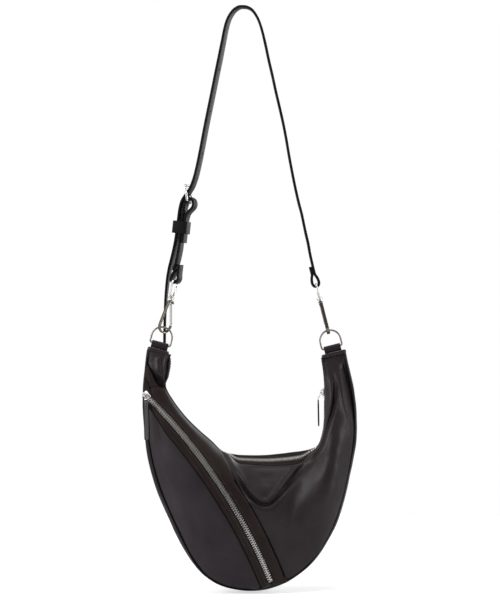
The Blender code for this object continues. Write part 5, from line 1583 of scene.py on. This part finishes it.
def build_slider(slider, pull, middle, axes, link_hang, hang, length):
    """A slider over the teeth, with its bail, its link and its leather pull."""
    along, sideways, outward = axes
    link_hang, hang = Vector(link_hang).normalized(), Vector(hang).normalized()
    outline = SLIDER_OUTLINE + [(reach, -wide) for reach, wide in SLIDER_OUTLINE[-2::-1]]
    plate = solid(slider + "_plate", [[
        [middle + along * -reach + sideways * wide + outward * level for reach, wide in outline]
        for level in (SLIDER_LOW, SLIDER_TOP)
    ]], BRIGHT_NICKEL)
    add_bevel(plate, 0.0004, 3, 30.0)
    put(plate, slider, slider)
    for side, label in ((-1.0, "near"), (1.0, "far")):
        place = middle + sideways * side * 0.00375 + outward * 0.0010
        size = (0.0088, 0.0007, 0.0018)
        flange = block(slider + "_flange_" + label, place, axes, size, BRIGHT_NICKEL, 0.0003)
        put(flange, slider)
    line = []
    for step in range(25):
        angle = math.pi * step / 24
        reach = SLIDER_LENGTH * 0.56 / 2 * math.cos(angle)
        rise = BAIL_FOOT + BAIL_RISE * math.sin(angle)
        line.append(middle + along * reach + outward * rise)
    section = rounded_section(0.0018, BAIL_THICKNESS, 0.0004)
    put(sweep(slider + "_bail", line, sideways, section, BRIGHT_NICKEL), slider)

    axle = (sideways - link_hang * sideways.dot(link_hang)).normalized()
    under_bail = BAIL_FOOT + BAIL_RISE - BAIL_THICKNESS / 2 - LINK_WIRE / 2
    seat = middle + outward * (under_bail - 0.0004)
    loop = rounded_loop(0.0026, -LINK_LENGTH, 0.0, 0.0018, 8)
    points = [seat - link_hang * tall + axle * wide for wide, tall in loop]
    link = wire(pull + "_link_wire", points, LINK_WIRE, BRIGHT_NICKEL, closed=True)
    put(link, pull, slider + "_link")

    axle = (axle - hang * axle.dot(hang)).normalized()
    start = seat + link_hang * LINK_LENGTH + hang * (LINK_WIRE / 2 + 0.0010)
    centre = [start + hang * length * index / 40 for index in range(41)]

    def pull_section(share):
        """The pull's section: rounded at its end, narrow at the link."""
        from_end = (1.0 - share) * length
        end = math.sqrt(max(1.0 - (1.0 - min(from_end / 0.0033, 1.0)) ** 2, 0.09))
        neck = 0.72 + 0.28 * step_up(0.0, 0.006, share * length)
        return rounded_section(PULL_WIDTH * min(end, neck), PULL_THICKNESS, 0.0007)

    leather_pull = sweep(pull + "_leather", centre, axle, pull_section, PAINTED_SHEEN_PULL_LEATHER)
    put(leather_pull, pull, slider + "_pull")
    # The pull's dark rim: its painted edges, and painted shade of the shadow beside it
    rim = [
        (-0.0029, 0.004), (-0.0029, 0.020), (-0.0029, length - 0.004), (-0.0021, length - 0.0014),
        (0.0, length - 0.0004),
    ]
    rim += [(-wide, down) for wide, down in rim[-2::-1]]
    edge = smooth_through([start + hang * down + axle * wide for wide, down in rim], 6)
    put(wire(pull + "_edge_paint_and_shade", edge, 0.0018, EDGE_PAINT_AND_SHADE, resolution=4), pull)
    normal = hang.cross(axle).normalized()
    places = []
    for face in (-1.0, 1.0):
        for side in (-1.0, 1.0):
            line = [
                start + hang * (0.006 + (length - 0.010) * step / 6) + axle * side * 0.0021
                + normal * face * 0.00092
                for step in range(7)
            ]
            places += [(point, run, normal * face) for point, run in evenly(line, 0.0028)]
    stitches(pull + "_stitches", places, 0.0019, 0.0005, pull)


def build_front_slider():
    """The slanting zip's slider, parked at its closed upper end."""
    sideways, outward, along = TRACK.place(FRONT_SLIDER_SHARE)
    build_slider(
        "front_slider", "front_pull", TRACK.point(FRONT_SLIDER_SHARE, 0.0, 0.0),
        (along, sideways, outward), (0.02, -1.0, -0.80), (0.02, -0.02, -1.0), 0.0520,
    )


def build_mouth():
    """The mouth's facings, tapes, teeth and slider."""
    count = len(MOUTH_FRONT)
    crosses = [(b - a).normalized() for a, b in zip(MOUTH_FRONT, MOUTH_BACK)]
    middles = [(a + b) / 2 for a, b in zip(MOUTH_FRONT, MOUTH_BACK)]
    outs = []
    for row in range(count):
        tangent = middles[min(row + 1, count - 1)] - middles[max(row - 1, 0)]
        out = tangent.cross(crosses[row]).normalized()
        outs.append(-out if out.dot(Vector((0.02, 0.0, -0.40)) - middles[row]) < 0.0 else out)

    def towards(point):
        """Out of the mouth at a point."""
        return outs[min(range(0, count, 4), key=lambda row: (middles[row] - point).length)]

    def beside(row, offset):
        """A point across the mouth from its middle."""
        return middles[row] + crosses[row] * offset

    near_front = [beside(row, -FACING_EDGE) for row in range(count)]
    near_back = [beside(row, FACING_EDGE) for row in range(count)]
    for name, edge_a, edge_b, inner_side in (
        ("mouth_facing_front", MOUTH_FRONT, near_front, True),
        ("mouth_facing_back", near_back, MOUTH_BACK, False),
    ):
        relief = facing_relief(lambda row: outs[row], 0.0003, inner_side)
        facing = loft(name + "_leather", edge_a, edge_b, 12, relief, FACING_LEATHER, towards)
        put(facing, "bag", name)
    for name, low, high in (
        ("mouth_tape_front", -MOUTH_TAPE, -GAP), ("mouth_tape_back", GAP, MOUTH_TAPE),
    ):
        rows = []
        for row in range(STEPS, count - 3 * STEPS // 2):
            base = middles[row] - outs[row] * TAPE_DEPTH
            rows.append([base + crosses[row] * (low + (high - low) * c / 3) for c in range(4)])
        cloth_sheet(name, rows, TAPE, towards)

    seat = min(range(count // 2, count), key=lambda row: abs(middles[row].z - MOUTH_SLIDER_HEIGHT))
    places = []
    for index, (point, along) in enumerate(evenly(middles[STEPS:seat + 3], TOOTH_PITCH / 2)):
        near = min(range(count), key=lambda row: (middles[row] - point).length_squared)
        side = crosses[near] if index % 2 else crosses[near] * -1.0
        places.append((point - outs[near] * 0.0001, along.normalized(), side, outs[near]))
    teeth("mouth_teeth_metal", places, "mouth_zip_teeth")
    places = []
    for side in (-1.0, 1.0):
        line = [
            middles[row] + crosses[row] * side * (FACING_EDGE + 0.0021) + outs[row] * 0.0002
            for row in range(STEPS, count - STEPS)
        ]
        places += [(point, along, towards(point)) for point, along in evenly(line, STITCH_PITCH)]
    stitches("mouth_stitches", places, STITCH_LENGTH, FINE_THREAD, "bag")
    # The slider follows the limb's straight run, half a station each way
    half = STEPS // 2
    along = (middles[seat + half] - middles[seat - half]).normalized() * -1.0
    build_slider(
        "mouth_slider", "mouth_pull", middles[seat], (along, crosses[seat], outs[seat]),
        (-0.55, 0.0, -1.0), (0.02, 0.0, -1.0), 0.0350,
    )


def build_linings():
    """Cloth linings inside, and the slanting pocket's own."""
    count = 60
    front_top = resampled(MOUTH_FRONT[24:-24], count)
    back_top = resampled(MOUTH_BACK[24:-24], count)
    edge = resampled(EDGE_CURVE[24:-25], count)
    for name, top, away, height in (
        ("lining_front", front_top, FRONT, 0.0), ("lining_back", back_top, BACK, 0.010),
    ):
        rows = []
        for row, point in enumerate(edge):
            inward = point - (front_top[row] + back_top[row]) / 2
            inward.y = 0.0
            inward.normalize()
            start = top[row] + inward * 0.005 - away * 0.003
            end = point - inward * 0.006 + away * (side_half(point) - 0.004)
            swell = height * math.sin(math.pi * row / (count - 1)) ** 1.5
            rows.append([
                start.lerp(end, column / 12) + away * (swell * arch(column / 12))
                for column in range(13)
            ])
        cloth_sheet(name, rows, LINING, lambda point, way=away: way)
    rows = []
    for index in range(60):
        share = 0.12 + 0.82 * index / 59
        width = 0.0265 - 0.0120 * step_up(0.66, 0.54, share)
        rows.append([TRACK.point(share, -0.0105 + width * c / 8, -0.0058) for c in range(9)])
    cloth_sheet("pocket_lining", rows, LINING)


# Studio

FLOOR = -0.7760
FLOOR_RADIUS = 1.15
CAMERA_PLACE = (0.0086, -3.0, -0.3943)
FOCAL_LENGTH = 133.2
# Name, place, size, watts, target
LIGHTS = [
    ("key_left", (-1.7, -1.4, 0.5), (0.7, 1.4), 31.0, (0.0, 0.0, -0.55)),
    ("fill_right", (1.9, -0.7, -0.1), (0.4, 1.6), 20.0, (0.0, 0.0, -0.50)),
    ("fill_left", (-1.9, -0.5, -0.4), (0.4, 1.4), 7.0, (0.0, 0.0, -0.60)),
    ("top", (0.0, -0.6, 1.3), (1.2, 0.6), 11.0, (0.0, 0.0, -0.6)),
    ("back_right", (1.1, 1.9, 0.0), (0.9, 1.2), 10.0, (0.0, 0.0, -0.55)),
]


def seen_directly(tree):
    """1 for what the camera sees itself, in a mirror or through glass, 0 for the light it gives."""
    rays = add_node(tree, "LightPath")
    value = rays.outputs["Is Camera Ray"]
    for kind in ("Is Glossy Ray", "Is Transmission Ray"):
        inputs = {0: value, 1: rays.outputs[kind]}
        value = add_node(tree, "Math", inputs, operation="MAXIMUM").outputs["Value"]
    return value


def build_floor():
    """A round pale floor, which is white where it is seen and keeps the object's shadow."""
    material, tree, shader = new_material("studio_white")
    inputs = {0: seen_directly(tree), 1: 0.58}
    strength = add_node(tree, "Math", inputs, operation="MULTIPLY").outputs["Value"]
    fill(tree, shader, {
        "Base Color": (0.90, 0.90, 0.90, 1.0), "Roughness": 0.85,
        "Emission Color": (1.0, 1.0, 1.0, 1.0), "Emission Strength": strength,
    })
    turns = [math.radians(5.0 * step) for step in range(72)]
    verts = [Vector((math.cos(turn), math.sin(turn), 0.0)) * FLOOR_RADIUS for turn in turns]
    floor = object_from("studio_floor", verts, [tuple(range(72))], material)
    floor.location.z = FLOOR


def build_world():
    """White surroundings, which mirror darker behind the camera and give little light."""
    world = bpy.data.worlds.new("studio_world")
    world.use_nodes = True
    bpy.context.scene.world = world
    tree = world.node_tree
    where = add_node(tree, "TexCoord").outputs["Generated"]
    depth = add_node(tree, "SeparateXYZ", {"Vector": where}).outputs["Y"]
    inputs = {"From Min": -0.90, "From Max": -0.25, "To Min": 0.30, "Value": depth}
    mirrored = add_node(tree, "MapRange", inputs, interpolation_type="SMOOTHSTEP")
    camera_ray = add_node(tree, "LightPath").outputs["Is Camera Ray"]
    inputs = {0: mirrored.outputs["Result"], 1: camera_ray}
    white = add_node(tree, "Math", inputs, operation="MAXIMUM").outputs["Value"]
    level = ranged(tree, seen_directly(tree), 0.0, 1.0, 0.16, white)
    fill(tree, tree.nodes["Background"], {"Color": (1.0, 1.0, 1.0, 1.0), "Strength": level})


def build_studio():
    """Floor, surroundings, soft lights and the camera."""
    build_floor()
    build_world()
    for name, place, size, power, target in LIGHTS:
        lamp = bpy.data.lights.new(name, "AREA")
        lamp.shape = "RECTANGLE"
        lamp.size, lamp.size_y = size
        lamp.energy = power
        item = bpy.data.objects.new(name, lamp)
        item.location = place
        item.rotation_euler = (Vector(target) - Vector(place)).to_track_quat("-Z", "Y").to_euler()
        bpy.context.scene.collection.objects.link(item)

    lens = bpy.data.cameras.new("camera")
    lens.sensor_fit = "AUTO"
    lens.sensor_width = 36.0
    lens.lens = FOCAL_LENGTH
    lens.clip_end = 50.0
    camera = bpy.data.objects.new("camera", lens)
    camera.location = CAMERA_PLACE
    camera.rotation_euler = (math.radians(90.0), 0.0, 0.0)
    bpy.context.scene.collection.objects.link(camera)
    bpy.context.scene.camera = camera
    bpy.context.scene.view_settings.view_transform = "Standard"


def build():
    """Builds every piece."""
    build_long_strap()
    build_buckle()
    build_buckle_strap()
    build_keeper()
    build_hook("left", LEFT_HOOK_POINT, LEFT_BAR, LEFT_ACROSS, HOOK_TURN_LEFT, RING_DROP_LEFT)
    build_hook("right", RIGHT_HOOK_POINT, RIGHT_BAR, BACK, HOOK_TURN_RIGHT, RING_DROP_RIGHT)
    build_limb_end("left", LEFT_HOOK_POINT, LIMB_TILT, 0.0290)
    build_limb_end("right", RIGHT_HOOK_POINT, -LIMB_TILT, 0.0330)
    build_front()
    build_back()
    build_facings()
    build_front_tapes()
    build_seams()
    build_front_teeth()
    build_front_slider()
    build_mouth()
    build_linings()
    build_studio()


build()
